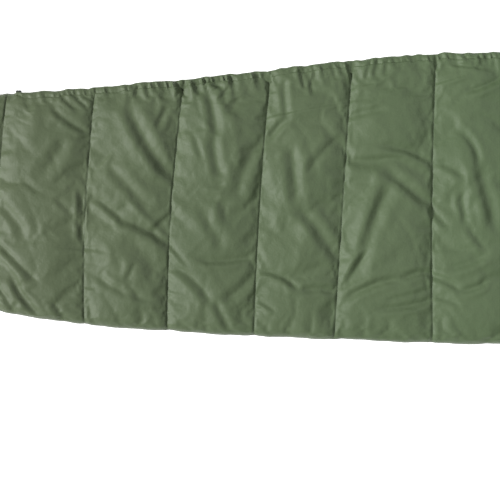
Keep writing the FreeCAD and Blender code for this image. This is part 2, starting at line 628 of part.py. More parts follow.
# ---------------------------------------------------------------- hanging loops
def foot_loops():
    """Two webbing loops at the foot, each turning about its sewn end."""
    for label, sign in (("foot_loop_left", "-"), ("foot_loop_right", "")):
        side = f"{sign}sizes.loop_spread - sizes.loop_width / 2"
        low = ("plan.foot_x - sizes.loop_length - 1.5", side, "plan.chain_z - sizes.loop_thick / 2")
        band = block(f"{label}_band", low, "sizes.loop_length", "sizes.loop_width", "sizes.loop_thick")
        gap = block(f"{label}_gap",
                    (f"{low[0]} + sizes.loop_band", f"{side} + sizes.loop_band", f"{low[2]} - 1"),
                    "sizes.loop_length - 2 * sizes.loop_band",
                    "sizes.loop_width - 2 * sizes.loop_band", "sizes.loop_thick + 2")
        keep(cut(label, band, gap), label)


# ---------------------------------------------------------------- assembly
lower_panel()
side_walls()
upper_panel("fixed", fixed_outline(), fixed_outline())
upper_panel("cover", cover_outline("0"), cover_outline("sizes.flap_width"))
mouth_binding("fixed", "-plan.chest_half", "plan.fold_end_y")
mouth_binding("cover", "plan.cover_end_y", "plan.chest_half - sizes.flap_width")
storm_flap()
zip_chain()
slider()
pull("outer", "")
pull("inner", "-")
zip_trim()
hood()
foot_loops()
document.recompute()

for part in exported:
    if "Invalid" in part.State or "Error" in part.State:
        raise RuntimeError(f"{part.Label} did not compute")
    if part.Shape.isNull() or not part.Shape.isValid() or not part.Shape.Solids:
        raise RuntimeError(f"{part.Label} has no sound shape")

os.makedirs("parts", exist_ok=True)
for part in exported:
    part.Shape.exportStep(f"parts/{part.Label}.step")
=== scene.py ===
"""Looks of a quilted sleeping sack that lies flat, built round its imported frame.

Everything is in metres in the frame's own axes: +X from foot to head, +Y to the zip side, +Z up.
"""

import json
import logging
import math
from dataclasses import dataclass, field
from enum import Enum
from typing import Callable

import bmesh
import bpy
import numpy as np
from mathutils import Matrix, Vector


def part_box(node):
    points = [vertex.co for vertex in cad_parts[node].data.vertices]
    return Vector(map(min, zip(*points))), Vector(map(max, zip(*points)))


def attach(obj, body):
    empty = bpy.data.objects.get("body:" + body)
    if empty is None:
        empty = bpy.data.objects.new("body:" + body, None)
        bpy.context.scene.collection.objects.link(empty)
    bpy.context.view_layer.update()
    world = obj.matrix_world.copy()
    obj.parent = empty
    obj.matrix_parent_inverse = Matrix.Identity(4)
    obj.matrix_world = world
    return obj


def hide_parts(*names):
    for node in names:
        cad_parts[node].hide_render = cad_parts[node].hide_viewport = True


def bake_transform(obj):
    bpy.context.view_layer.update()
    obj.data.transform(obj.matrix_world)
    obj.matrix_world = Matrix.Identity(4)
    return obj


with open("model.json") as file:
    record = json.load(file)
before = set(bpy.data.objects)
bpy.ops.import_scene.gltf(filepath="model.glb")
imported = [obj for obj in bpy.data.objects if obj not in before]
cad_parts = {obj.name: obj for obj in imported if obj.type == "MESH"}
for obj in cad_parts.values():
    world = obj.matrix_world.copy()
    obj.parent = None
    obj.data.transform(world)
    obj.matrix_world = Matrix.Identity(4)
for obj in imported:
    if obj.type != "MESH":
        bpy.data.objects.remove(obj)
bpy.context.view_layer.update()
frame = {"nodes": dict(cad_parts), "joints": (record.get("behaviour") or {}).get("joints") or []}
LOG = logging.getLogger("sleeping_sack")
Array = np.ndarray
Colour = tuple[float, float, float]


# ------------------------------------------------------------------ plan and heights
@dataclass(frozen=True)
class SackPlan:
    """The sack's outline seen from above, its seams and the heights of its layers."""

    foot_x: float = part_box("lower_shell")[0][0]
    mouth_x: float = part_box("lower_shell")[1][0]
    opening_x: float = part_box("upper_liner_fixed")[1][0]
    head_x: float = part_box("hood_shell")[1][0]
    chest_half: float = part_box("lower_shell")[1][1]
    foot_half: float = 0.250
    bend_x: float = 0.370
    corner_radius: float = 0.110
    corner_half: float = 0.1488
    seam_pitch: float = 0.224
    first_seam: float = -0.963
    seam_count: int = 8
    seam_drift: tuple[float, ...] = (0.000, -0.005, -0.002, -0.005, -0.002, -0.012, -0.007, 0.000)
    seam_lean: tuple[float, ...] = (0.008, 0.013, 0.016, 0.023, 0.022, 0.023, 0.004, 0.000)
    seam_bow: tuple[float, ...] = (0.006, 0.012, 0.010, 0.010, 0.006, 0.000, 0.006, 0.000)
    edge_z: float = 0.030
    zip_foot_x: float = -0.690
    foot_hem: float = 0.012
    mouth_hem: float = 0.03
    sag: float = 0.0195

    @property
    def seam_stations(self) -> Array:
        """The x of every cross seam in the straight pattern."""
        return self.first_seam + self.seam_pitch * np.arange(self.seam_count)

    @property
    def hood_radius(self) -> float:
        """The radius of the hood's half-moon rim."""
        reach = self.head_x - self.mouth_x
        return (self.chest_half ** 2 + reach ** 2) / (2 * reach)

    def half_width(self, x: Array) -> Array:
        """Half of the sack's width at each x, with rounded foot corners and hood.

        Args:
            x: Places along the sack.

        Returns:
            The half width at each place.
        """
        slope = (self.chest_half - self.foot_half) / (self.bend_x - self.foot_x)
        taper = self.foot_half + slope * (x - self.foot_x)
        blunt, straight_until = 0.0035, self.bend_x - 0.25
        side = self.chest_half - np.logaddexp(0.0, (self.chest_half - taper) / blunt) * blunt
        side = np.where(x < straight_until, taper, np.minimum(side, self.chest_half))
        into = np.clip(1 - (x - self.foot_x) / self.corner_radius, 0.0, 1.0)
        corner = self.corner_half + self.corner_radius * np.sqrt(1 - into ** 2)
        side = np.where(into > 0, np.minimum(side, corner), side)
        radius = self.hood_radius
        rim = np.sqrt(np.clip(radius ** 2 - (x - self.head_x + radius) ** 2, 0.0, None))
        return np.where(x > self.mouth_x, np.minimum(side, rim), side)

    def middle(self, x: Array) -> Array:
        """The sideways shift of the lying sack's middle line: it sags a little off straight."""
        foot_side = np.clip((x - self.foot_x) / 0.62, 0, 1)
        head_side = np.clip((0.42 - x) / 0.90, 0, 1)
        return -self.sag * smooth(foot_side) * smooth(head_side)

    def zip_part(self, x: Array) -> Array:
        """0 where the zip side is closed at the foot, 1 along the zip."""
        return smooth((x - self.zip_foot_x + 0.015) / 0.05)

    def sides(self, x: Array, waves: Array | float = 1.0) -> tuple[Array, Array]:
        """The far side and the zip side of the lying sack at each x.

        Args:
            x: Places along the sack.
            waves: How much of the edges' waves there is.

        Returns:
            The y of the far side and of the zip side.
        """
        half, middle = self.half_width(x), self.middle(x)
        far = middle - half + waves * self.edge_wave(x, -1)
        return far, middle + half + waves * self.edge_wave(x, 1)

    def warp(self, straight: Array, y: Array) -> Array:
        """Where a point of the straight pattern lies once the seams lean and bow."""
        bent = self.seam_x((straight - self.first_seam) / self.seam_pitch, y)
        part = smooth((straight - self.foot_x) / 0.13) * smooth((self.opening_x - straight) / 0.16)
        return straight + part * (bent - straight)

    def channel(self, straight: Array) -> tuple[Array, Array, Array]:
        """Where points of the straight pattern are between the cross seams.

        Args:
            straight: Places along the straight pattern.

        Returns:
            The distance to the nearest seam, the share of the channel passed and the nearest
            seam's number.
        """
        stations = self.seam_stations
        ends = [self.foot_x - self.foot_hem], [self.opening_x + self.mouth_hem]
        edges = np.concatenate([ends[0], stations, ends[1]])
        cell = np.clip(np.searchsorted(edges, straight, side="right") - 1, 0, len(edges) - 2)
        share = (straight - edges[cell]) / (edges[cell + 1] - edges[cell])
        gaps = np.abs(straight[:, None] - stations[None, :])
        return gaps.min(axis=1), np.clip(share, 0, 1), gaps.argmin(axis=1)

    def edge_wave(self, x: Array, side: float) -> Array:
        """How far the lying sack's edge strays from its straight pattern.

        Args:
            x: Places along the sack.
            side: 1 for the zip side, -1 for the far side.

        Returns:
            The shift of the edge's y. The edge is drawn in at the seams.
        """
        stations = self.seam_stations
        lean = 0.018 * side * bell(stations + 0.05, 0.42)
        notch = fade(np.abs(x[:, None] - stations[None, :] - lean[None, :]), 0.012).sum(axis=1)
        slow = EDGE_GRAIN.layered(x * 17, 0 * x + 5 + 9 * side, 2)
        quick = EDGE_GRAIN.at(x * 62, 0 * x + 30 + 11 * side)
        fuller = (0.0055 - 0.0015 * side) * bell(x + 0.42, 0.24)
        fuller = fuller + (0.003 - 0.003 * side) * bell(x + 0.03, 0.20)
        flutter = (0.0012 + 0.0006 * side) * quick
        return side * (0.0012 + fuller - 0.0032 * notch + 0.0017 * slow + flutter)

    def seam_x(self, index: Array, y: Array) -> Array:
        """Where a cross seam runs: it drifts, leans towards the head on the zip side, and bows."""
        station = self.first_seam + self.seam_pitch * index
        across = y / self.half_width(station + 0 * y)
        numbers = np.arange(self.seam_count)
        drift, lean, bow = (np.interp(index, numbers, amounts)
                            for amounts in (self.seam_drift, self.seam_lean, self.seam_bow))
        return station + drift + lean * across + bow * across ** 2

    def seam_distance(self, x: Array, y: Array) -> tuple[Array, Array, Array]:
        """Distances from points to the cross seams.

        Args:
            x: Places along the sack.
            y: Places across it.

        Returns:
            The distance to the nearest seam, the share of the channel passed and the nearest
            seam's number.
        """
        beyond = 9.0
        lines = [self.foot_x - self.foot_hem + 0 * y]
        lines += [self.seam_x(index, y) for index in range(self.seam_count)]
        lines.append(self.opening_x + self.mouth_hem + 0 * y)
        stack = np.stack(lines)
        gaps = np.abs(stack - x)
        left = np.max(np.where(stack <= x, stack, -beyond), axis=0)
        right = np.min(np.where(stack > x, stack, beyond), axis=0)
        share = np.clip((x - left) / np.maximum(right - left, 1e-6), 0, 1)
        inner = gaps[1:-1]
        return inner.min(axis=0), share, inner.argmin(axis=0)


def smooth(value: Array) -> Array:
    """The smoothstep of a value that is held between 0 and 1."""
    held = np.clip(value, 0.0, 1.0)
    return held * held * (3 - 2 * held)


def roll(distance: Array, radius: float) -> Array:
    """How high a rounded edge stands at a distance from it: 0 at the edge, 1 past the radius."""
    held = np.clip(distance / radius, 0.0, 1.0)
    return np.sqrt(1 - (1 - held) ** 2)


def bell(offset: Array, width: float) -> Array:
    """A bell-shaped bump: 1 in its middle, about a third at its width."""
    return np.exp(-(offset / width) ** 2)


def fade(distance: Array, reach: Array | float) -> Array:
    """A ridge that fades on both sides: 1 on its line, about a third at its reach."""
    return np.exp(-distance / reach)


def boxed(wave: Array, power: float) -> Array:
    """A sine or cosine pushed towards -1 and 1, which makes a round section boxier."""
    return np.sign(wave) * np.abs(wave) ** power


def joint_named(name: str) -> dict:
    """The frame's joint of that name."""
    return next(joint for joint in frame["joints"] if joint["name"] == name)


@dataclass
class Grain:
    """Repeatable smooth noise over the plane."""

    seed: int
    cells: int = 64
    table: Array = field(init=False)

    def __post_init__(self) -> None:
        """Draw the table of lattice values."""
        self.table = np.random.default_rng(self.seed).random((self.cells, self.cells)) * 2 - 1

    def at(self, x: Array, y: Array) -> Array:
        """Smooth values between -1 and 1, one lattice cell per unit."""
        column, row = np.floor(x).astype(int), np.floor(y).astype(int)
        across, up = smooth(x - column), smooth(y - row)
        size = self.cells
        low = self.table[column % size, row % size] * (1 - across)
        low = low + self.table[(column + 1) % size, row % size] * across
        high = self.table[column % size, (row + 1) % size] * (1 - across)
        high = high + self.table[(column + 1) % size, (row + 1) % size] * across
        return low * (1 - up) + high * up

    def layered(self, x: Array, y: Array, octaves: int = 3) -> Array:
        """Several sizes of noise added up, each half as strong as the last."""
        total, strength = np.zeros_like(x), 1.0
        for octave in range(octaves):
            size = 2 ** octave
            total = total + strength * self.at(x * size + 7.3 * octave, y * size + 3.1 * octave)
            strength /= 2
        return total

    def creased(self, x: Array, y: Array) -> Array:
        """Noise with sharp ridges, for crumpled cloth: 0 between the ridges, 1 on them."""
        warp = 0.6 * self.at(x * 0.7 + 19, y * 0.7 + 5)
        return (1 - np.abs(self.at(x + warp, y - warp))) ** 3


# ------------------------------------------------------------------ folds
class FoldKind(Enum):
    """The shapes that a fold's section takes."""

    CREASE = "crease"
    VALLEY = "valley"
    RIDGE = "ridge"


@dataclass(frozen=True)
class Fold:
    """One fold of the cloth.

    It has its start and end in metres, its width and depth in millimetres, the shape of its section
    and how far it bows aside in metres.
    """

    start: tuple[float, float]
    end: tuple[float, float]
    width: float
    depth: float
    kind: FoldKind = FoldKind.VALLEY
    bow: float = 0.0

    def height(self, x: Array, y: Array) -> Array:
        """The fold's part in the cloth's height at each point, in metres."""
        run = Vector(self.end) - Vector(self.start)
        length = run.length
        along = ((x - self.start[0]) * run.x + (y - self.start[1]) * run.y) / length ** 2
        aside = (-(x - self.start[0]) * run.y + (y - self.start[1]) * run.x) / length
        aside = aside - self.bow * 4 * along * (1 - along)
        ends = smooth((along + 0.08) / 0.3) * smooth((1.08 - along) / 0.3)
        width, depth = self.width / 1000, self.depth / 1000
        if self.kind is FoldKind.RIDGE:
            section = bell(aside, width)
        elif self.kind is FoldKind.VALLEY:
            section = -bell(aside, width) + 0.35 * bell(np.abs(aside) - 2 * width, width)
        else:
            sharp = -np.exp(-np.sqrt((aside / width) ** 2 + 0.02))
            section = sharp + 0.60 * bell(aside + 2.2 * width, 1.3 * width)
        return depth * ends * section


CREASE, VALLEY, RIDGE = FoldKind.CREASE, FoldKind.VALLEY, FoldKind.RIDGE
LYING_FOLDS = (
    # second channel from the foot
    Fold((-0.605, 0.236), (-0.512, 0.171), 7, 3.6, CREASE, -0.006),
    Fold((-0.640, 0.240), (-0.665, 0.130), 22, 2.5, RIDGE),
    Fold((-0.569, 0.156), (-0.641, 0.053), 15, 3.4, VALLEY, 0.008),
    Fold((-0.680, 0.048), (-0.631, 0.014), 8, 2.0),
    Fold((-0.739, -0.011), (-0.672, -0.102), 12, 3.0, VALLEY, 0.008),
    Fold((-0.745, -0.110), (-0.636, -0.218), 8, 4.6, CREASE),
    Fold((-0.708, -0.197), (-0.631, -0.303), 9, 3.8, VALLEY, -0.008),
    Fold((-0.742, -0.225), (-0.700, -0.292), 7, 3.2, CREASE),
    Fold((-0.597, 0.004), (-0.553, -0.037), 6, 2.2, CREASE),
    Fold((-0.543, 0.027), (-0.543, -0.112), 6, 2.4, RIDGE),
    Fold((-0.527, 0.020), (-0.525, -0.125), 6, 2.4),
    Fold((-0.598, -0.262), (-0.574, -0.312), 8, 3.2, CREASE),
    Fold((-0.650, -0.060), (-0.590, -0.190), 26, 2.0, RIDGE),
    # third channel
    Fold((-0.499, 0.006), (-0.417, -0.062), 8, 5.0, CREASE, 0.004),
    Fold((-0.430, -0.050), (-0.296, -0.120), 11, 5.4, CREASE, 0.006),
    Fold((-0.409, -0.004), (-0.301, -0.112), 9, 3.2, RIDGE),
    Fold((-0.404, 0.228), (-0.288, 0.048), 17, 5.4, VALLEY, -0.010),
    Fold((-0.435, 0.233), (-0.327, 0.035), 18, 3.0, RIDGE),
    Fold((-0.486, 0.084), (-0.458, 0.115), 4, 1.5, CREASE),
    Fold((-0.461, 0.086), (-0.358, -0.017), 12, 2.8),
    Fold((-0.306, 0.238), (-0.334, 0.177), 8, 2.8),
    Fold((-0.417, -0.094), (-0.327, -0.197), 22, 3.2),
    Fold((-0.389, -0.166), (-0.412, -0.215), 7, 2.8, CREASE),
    Fold((-0.412, -0.215), (-0.378, -0.252), 7, 2.4, CREASE),
    Fold((-0.494, -0.195), (-0.347, -0.261), 9, 2.2, VALLEY, -0.010),
    Fold((-0.597, -0.124), (-0.450, -0.138), 6, 1.8, CREASE, 0.004),
    Fold((-0.460, -0.110), (-0.436, -0.240), 20, 2.2, RIDGE),
    Fold((-0.300, -0.040), (-0.350, -0.090), 6, 2.0, CREASE),
    # fourth channel
    Fold((-0.203, 0.275), (-0.182, 0.151), 12, 4.4, VALLEY, 0.006),
    Fold((-0.186, 0.160), (-0.167, 0.053), 12, 4.2, VALLEY, -0.006),
    Fold((-0.151, 0.233), (-0.1205, 0.068), 14, 3.2, RIDGE, 0.006),
    Fold((-0.244, 0.177), (-0.216, 0.099), 6, 1.6),
    Fold((-0.064, 0.156), (-0.131, -0.004), 15, 4.2, VALLEY, -0.010),
    Fold((-0.211, 0.040), (-0.156, 0.040), 6, 2.8, CREASE, -0.008),
    Fold((-0.167, 0.022), (-0.193, -0.068), 16, 2.6, RIDGE),
    Fold((-0.224, -0.019), (-0.159, -0.133), 14, 2.8),
    Fold((-0.236, -0.156), (-0.090, -0.146), 7, 3.2, CREASE, -0.010),
    Fold((-0.293, -0.171), (-0.193, -0.269), 10, 4.6, CREASE, 0.010),
    Fold((-0.300, -0.118), (-0.249, -0.179), 5, 2.4, CREASE),
    Fold((-0.074, -0.179), (-0.167, -0.267), 12, 3.4, VALLEY, 0.008),
    Fold((-0.185, -0.262), (-0.150, -0.335), 9, 3.0),
    Fold((-0.120, 0.262), (-0.150, 0.215), 8, 2.6, CREASE),
    # fifth channel, with the long shallow press line
    Fold((-0.105, 0.196), (0.205, 0.256), 3, 1.5, CREASE, 0.005),
    Fold((-0.005, 0.305), (0.003, 0.202), 8, 3.4, VALLEY, -0.004),
    Fold((0.003, 0.202), (-0.043, 0.151), 8, 3.4, VALLEY, -0.006),
    Fold((0.008, 0.138), (0.021, -0.017), 14, 4.8, VALLEY, 0.006),
    Fold((0.021, -0.017), (0.132, -0.164), 14, 3.8, VALLEY, 0.008),
    Fold((0.132, 0.156), (0.047, 0.053), 9, 3.4, CREASE, -0.006),
    Fold((-0.048, 0.125), (-0.018, -0.107), 16, 2.6, RIDGE),
    Fold((-0.064, -0.184), (0.034, -0.236), 7, 4.4, CREASE, 0.010),
    Fold((0.034, -0.236), (0.125, -0.238), 9, 2.8, VALLEY, 0.004),
    Fold((-0.074, -0.260), (-0.030, -0.287), 5, 2.4, CREASE),
    Fold((0.060, -0.060), (0.020, -0.190), 20, 2.4, RIDGE),
    # sixth channel
    Fold((0.150, 0.208), (0.253, 0.233), 9, 2.4),
    Fold((0.150, 0.107), (0.253, 0.092), 14, 3.2, VALLEY, -0.008),
    Fold((0.235, 0.138), (0.374, 0.092), 8, 4.6, CREASE, 0.010),
    Fold((0.253, 0.074), (0.369, -0.017), 12, 4.4),
    Fold((0.369, -0.017), (0.421, -0.076), 8, 4.2, CREASE, -0.004),
    Fold((0.240, 0.086), (0.160, -0.200), 17, 4.0, RIDGE),
    Fold((0.275, 0.050), (0.176, -0.215), 15, 4.2, VALLEY, -0.010),
    Fold((0.214, -0.133), (0.153, -0.231), 7, 4.4, CREASE, -0.006),
    Fold((0.150, -0.262), (0.292, -0.205), 9, 3.8, VALLEY, 0.010),
    Fold((0.292, -0.205), (0.379, -0.189), 8, 2.8, VALLEY, 0.004),
    Fold((0.230, -0.282), (0.379, -0.256), 7, 3.4, CREASE, -0.008),
    Fold((0.255, -0.262), (0.372, -0.235), 6, 1.8),
    Fold((0.290, -0.090), (0.230, -0.170), 22, 2.0, RIDGE),
    # seventh channel
    Fold((0.390, 0.094), (0.459, 0.053), 8, 4.4, CREASE, 0.004),
    Fold((0.446, 0.177), (0.493, 0.086), 8, 3.4, VALLEY, 0.010),
    Fold((0.493, 0.086), (0.535, -0.080), 16, 4.4),
    Fold((0.432, 0.150), (0.516, -0.085), 19, 4.2, RIDGE, 0.010),
    Fold((0.452, 0.022), (0.462, -0.068), 8, 3.2, VALLEY, -0.004),
    Fold((0.462, -0.068), (0.511, -0.133), 8, 3.8, CREASE),
    Fold((0.416, -0.179), (0.516, -0.140), 8, 3.8, CREASE, -0.006),
    Fold((0.356, -0.197), (0.446, -0.236), 8, 3.2, VALLEY, 0.008),
    Fold((0.446, -0.236), (0.516, -0.210), 8, 3.2, VALLEY, -0.006),
    Fold((0.379, -0.249), (0.446, -0.272), 6, 2.2, CREASE),
    Fold((0.462, 0.274), (0.560, 0.320), 7, 3.8, CREASE, -0.006),
    Fold((0.382, 0.296), (0.459, 0.318), 4, 2.0, CREASE),
    Fold((0.421, 0.346), (0.506, 0.335), 4, 2.0, CREASE),
    # puckers that run in from the gathered edge
    Fold((-0.584, 0.267), (-0.546, 0.228), 4, 2.6, CREASE),
    Fold((-0.559, 0.275), (-0.512, 0.233), 4, 2.6, CREASE),
    Fold((-0.528, 0.267), (-0.499, 0.251), 4, 2.2, CREASE),
    Fold((-0.381, 0.292), (-0.390, 0.258), 4, 2.6, CREASE),
    Fold((-0.363, 0.290), (-0.351, 0.255), 4, 2.8, CREASE),
    Fold((-0.340, 0.296), (-0.314, 0.250), 5, 3.0, CREASE),
    Fold((-0.287, 0.298), (-0.258, 0.260), 4, 3.0, CREASE),
    Fold((-0.258, 0.300), (-0.286, 0.260), 4, 2.4, CREASE),
    Fold((-0.247, 0.302), (-0.222, 0.265), 4, 3.0, CREASE),
    Fold((-0.202, 0.300), (-0.165, 0.284), 5, 3.0, CREASE),
    Fold((-0.144, 0.290), (-0.177, 0.246), 5, 2.8, CREASE),
    Fold((0.032, 0.332), (0.047, 0.282), 4, 3.0, CREASE),
    Fold((0.055, 0.326), (0.066, 0.264), 4, 2.8, CREASE),
    Fold((0.077, 0.332), (0.059, 0.282), 4, 2.6, CREASE),
    Fold((0.218, 0.358), (0.203, 0.302), 5, 2.8, CREASE),
    Fold((0.236, 0.362), (0.224, 0.312), 5, 2.6, CREASE),
    Fold((0.262, 0.366), (0.253, 0.314), 5, 2.4, CREASE),
    Fold((0.450, 0.380), (0.473, 0.344), 5, 2.8, CREASE),
    Fold((0.492, 0.374), (0.504, 0.338), 4, 2.4, CREASE),
)


def unseen_folds() -> tuple[Fold, ...]:
    """Folds like the others for the foot end and the head end."""
    draw = np.random.default_rng(11)
    foot_end, head_end = (-1.05, -0.76, 16), (0.56, 0.76, 12)
    folds = []
    for low, high, count in (foot_end, head_end):
        for _ in range(count):
            x, y = draw.uniform(low, high), draw.uniform(-0.30, 0.30)
            angle = math.radians(draw.uniform(-75, 75))
            length = draw.uniform(0.05, 0.15)
            end = (x + length * math.cos(angle), y + length * math.sin(angle))
            kind = (CREASE, VALLEY, RIDGE)[int(draw.integers(3))]
            width, depth, bow = draw.uniform(7, 16), draw.uniform(2, 4), draw.uniform(-0.01, 0.01)
            folds.append(Fold((x, y), end, width, depth, kind, bow))
    return tuple(folds)


# ------------------------------------------------------------------ mesh helpers
def new_mesh(name: str, shape: bmesh.types.BMesh, finishes: list[bpy.types.Material],
             shaded: bool = True) -> bpy.types.Object:
    """Turn a bmesh into a shown object.

    Args:
        name: The piece's name.
        shape: The finished bmesh, which is freed.
        finishes: The materials, in the order of the faces' material numbers.
        shaded: Whether faces are shaded smooth.

    Returns:
        The new object, at the origin.
    """
    mesh = bpy.data.meshes.new(name)
    shape.to_mesh(mesh)
    shape.free()
    for finish in finishes:
        mesh.materials.append(finish)
    mesh.polygons.foreach_set("use_smooth", [shaded] * len(mesh.polygons))
    piece = bpy.data.objects.new(name, mesh)
    bpy.context.scene.collection.objects.link(piece)
    return piece


def place_points(shape: bmesh.types.BMesh, points: Array) -> None:
    """Move every vertex of a bmesh to the row of the same number in points."""
    for vertex, point in zip(shape.verts, points):
        vertex.co = point


def grid_numbers(shape: bmesh.types.BMesh, columns: int, rows: int) -> tuple[Array, Array]:
    """The column and row of each vertex of a bmesh that create_grid made at size 0.5."""
    points = np.array([vertex.co[:] for vertex in shape.verts])
    column = np.rint((points[:, 0] + 0.5) * columns).astype(int)
    row = np.rint((points[:, 1] + 0.5) * rows).astype(int)
    return column, row


def open_grid(columns: int, rows: int) -> tuple[bmesh.types.BMesh, Array, Array]:
    """A flat grid of faces and the column and row of each of its vertices."""
    shape = bmesh.new()
    bmesh.ops.create_grid(shape, x_segments=columns, y_segments=rows, size=0.5)
    column, row = grid_numbers(shape, columns, rows)
    return shape, column, row


def soften(shape: bmesh.types.BMesh) -> None:
    """Round every edge of a small part."""
    bmesh.ops.bevel(shape, geom=list(shape.edges), offset=0.0003, segments=2, profile=0.5,
                    affect="EDGES", material=-1)


def closed_shape(shape: bmesh.types.BMesh, distance: float = 1e-5) -> None:
    """Merge the vertices that meet, fill what is left open and point the faces outwards."""
    bmesh.ops.remove_doubles(shape, verts=shape.verts, dist=distance)
    bmesh.ops.dissolve_degenerate(shape, dist=distance, edges=shape.edges)
    bmesh.ops.holes_fill(shape, edges=[edge for edge in shape.edges if edge.is_boundary], sides=0)
    bmesh.ops.recalc_face_normals(shape, faces=shape.faces)


def padded_shape(columns: int, rows: int, top: Callable[[Array, Array], Array],
                 bottom: Callable[[Array, Array], Array]) -> bmesh.types.BMesh:
    """A closed pillow from two grids whose rims coincide.

    Args:
        columns: Faces along the first direction.
        rows: Faces along the second direction.
        top: Gives the upper surface's points from columns and rows.
        bottom: Gives the lower surface's points, equal to top's round the rim.

    Returns:
        The bmesh. Faces of the lower surface have material number 1.
    """
    shape, column, row = open_grid(columns, rows)
    place_points(shape, top(column, row))
    parts = list(shape.verts) + list(shape.edges) + list(shape.faces)
    copied = bmesh.ops.duplicate(shape, geom=parts)
    shape.verts.ensure_lookup_table()
    for vertex, point in zip(shape.verts[:len(column)], bottom(column, row)):
        copied["vert_map"][vertex].co = point
    lower = [face for face in copied["geom"] if isinstance(face, bmesh.types.BMFace)]
    for face in lower:
        face.material_index = 1
    bmesh.ops.reverse_faces(shape, faces=lower)
    closed_shape(shape)
    return shape


def repeated(name: str, shape: bmesh.types.BMesh, places: list[Matrix],
             finish: bpy.types.Material) -> bpy.types.Object:
    """Many copies of one small shape as one piece.

    Args:
        name: The piece's name.
        shape: The shape to copy, which is freed.
        places: Where each copy stands.
        finish: Its material.

    Returns:
        The piece with every copy.
    """
    sample = bpy.data.meshes.new(f"{name}_sample")
    shape.to_mesh(sample)
    shape.free()
    corners = np.array([vertex.co[:] for vertex in sample.vertices])
    copies = bmesh.new()
    for _ in places:
        copies.from_mesh(sample)
    piece = new_mesh(name, copies, [finish])
    turns = np.array([place.to_3x3() for place in places])
    moves = np.array([place.translation for place in places])
    points = np.einsum("nij,kj->nki", turns, corners) + moves[:, None, :]
    piece.data.vertices.foreach_set("co", points.ravel())
    piece.data.update()
    bpy.data.meshes.remove(sample)
    return piece


def tube_shape(surface: Callable[[Array, Array], Array], lengthwise: int,
               around: int) -> bmesh.types.BMesh:
    """A closed tube with capped ends.

    Args:
        surface: Gives points from the share of the length and the turn in radians.
        lengthwise: Faces along the tube.
        around: Faces round it.

    Returns:
        The bmesh of the tube.
    """
    shape, column, row = open_grid(lengthwise, around)
    place_points(shape, surface(column / lengthwise, row / around * math.tau))
    closed_shape(shape)
    return shape


# ------------------------------------------------------------------ shader helpers
class Wire:
    """A node socket with arithmetic: an expression on wires adds Math nodes."""

    def __init__(self, paint: "Paint", socket: bpy.types.NodeSocket) -> None:
        """Wrap a socket of a material's node tree."""
        self.paint, self.socket = paint, socket

    def _maths(self, operation: str, first: object, second: object) -> "Wire":
        """The output of a Math node on two values."""
        return self.paint.node("ShaderNodeMath", {"operation": operation}, {0: first, 1: second})

    def __add__(self, other: object) -> "Wire":
        """Sum."""
        return self._maths("ADD", self, other)

    __radd__ = __add__

    def __sub__(self, other: object) -> "Wire":
        """Difference."""
        return self._maths("SUBTRACT", self, other)

    def __mul__(self, other: object) -> "Wire":
        """Product."""
        return self._maths("MULTIPLY", self, other)


class Paint:
    """A material under construction."""

    def __init__(self, name: str) -> None:
        """Make an empty material of that name."""
        self.material = bpy.data.materials.new(name)
        self.material.use_nodes = True
        self.tree = self.material.node_tree
        self.tree.nodes.clear()

    def node(self, kind: str, settings: dict | None = None, inputs: dict | None = None,
             output: int | str = 0) -> Wire:
        """Add a node.

        Args:
            kind: The node's type name.
            settings: Its properties, set first.
            inputs: Values or wires for its sockets, by number or name.
            output: Which of its outputs to return.

        Returns:
            That output.
        """
        node = self.tree.nodes.new(kind)
        for key, value in (settings or {}).items():
            setattr(node, key, value)
        for key, value in (inputs or {}).items():
            if isinstance(value, Wire):
                self.tree.links.new(value.socket, node.inputs[key])
            else:
                node.inputs[key].default_value = value
        return Wire(self, node.outputs[output])

    def place(self, scale: tuple[float, float, float] = (1, 1, 1)) -> Wire:
        """Object coordinates, scaled."""
        coordinates = self.node("ShaderNodeTexCoord", output="Object")
        return self.node("ShaderNodeMapping", {}, {"Vector": coordinates, "Scale": scale})

    def noise(self, scale: float, detail: float = 2.0,
              stretch: tuple[float, float, float] = (1, 1, 1)) -> Wire:
        """Noise on the object's own coordinates, between 0 and 1."""
        return self.node("ShaderNodeTexNoise", {}, {
            "Vector": self.place(stretch), "Scale": scale, "Detail": detail, "Roughness": 0.55})

    def stripes(self, scale: float, direction: str) -> Wire:
        """Even threads across one axis, between 0 and 1."""
        inputs = {"Vector": self.place(), "Scale": scale, "Distortion": 0.4, "Detail": 1.0}
        return self.node("ShaderNodeTexWave", {"wave_type": "BANDS", "bands_direction": direction},
                         inputs, "Fac")

    def between(self, mask: Wire, low: Colour, high: Colour) -> Wire:
        """A colour between two colours by a mask."""
        mix = self.tree.nodes.new("ShaderNodeMix")
        mix.data_type = "RGBA"
        mix.clamp_factor = True
        self.tree.links.new(mask.socket, mix.inputs["Factor"])
        mix.inputs[6].default_value = (*low, 1)
        mix.inputs[7].default_value = (*high, 1)
        return Wire(self, mix.outputs[2])

    def bump(self, height: Wire, distance: float) -> Wire:
        """A normal from a height."""
        inputs = {"Height": height, "Distance": distance, "Strength": 1.0}
        return self.node("ShaderNodeBump", {}, inputs, "Normal")

    def finish(self, inputs: dict) -> bpy.types.Material:
        """Connect a Principled shader with those inputs and return the material."""
        surface = self.node("ShaderNodeBsdfPrincipled", {}, inputs, "BSDF")
        output = self.tree.nodes.new("ShaderNodeOutputMaterial")
        self.tree.links.new(surface.socket, output.inputs["Surface"])
        return self.material


def shade(colour: Colour, factor: float) -> Colour:
    """A colour made lighter or darker by a factor."""
    return tuple(min(channel * factor, 1.0) for channel in colour)


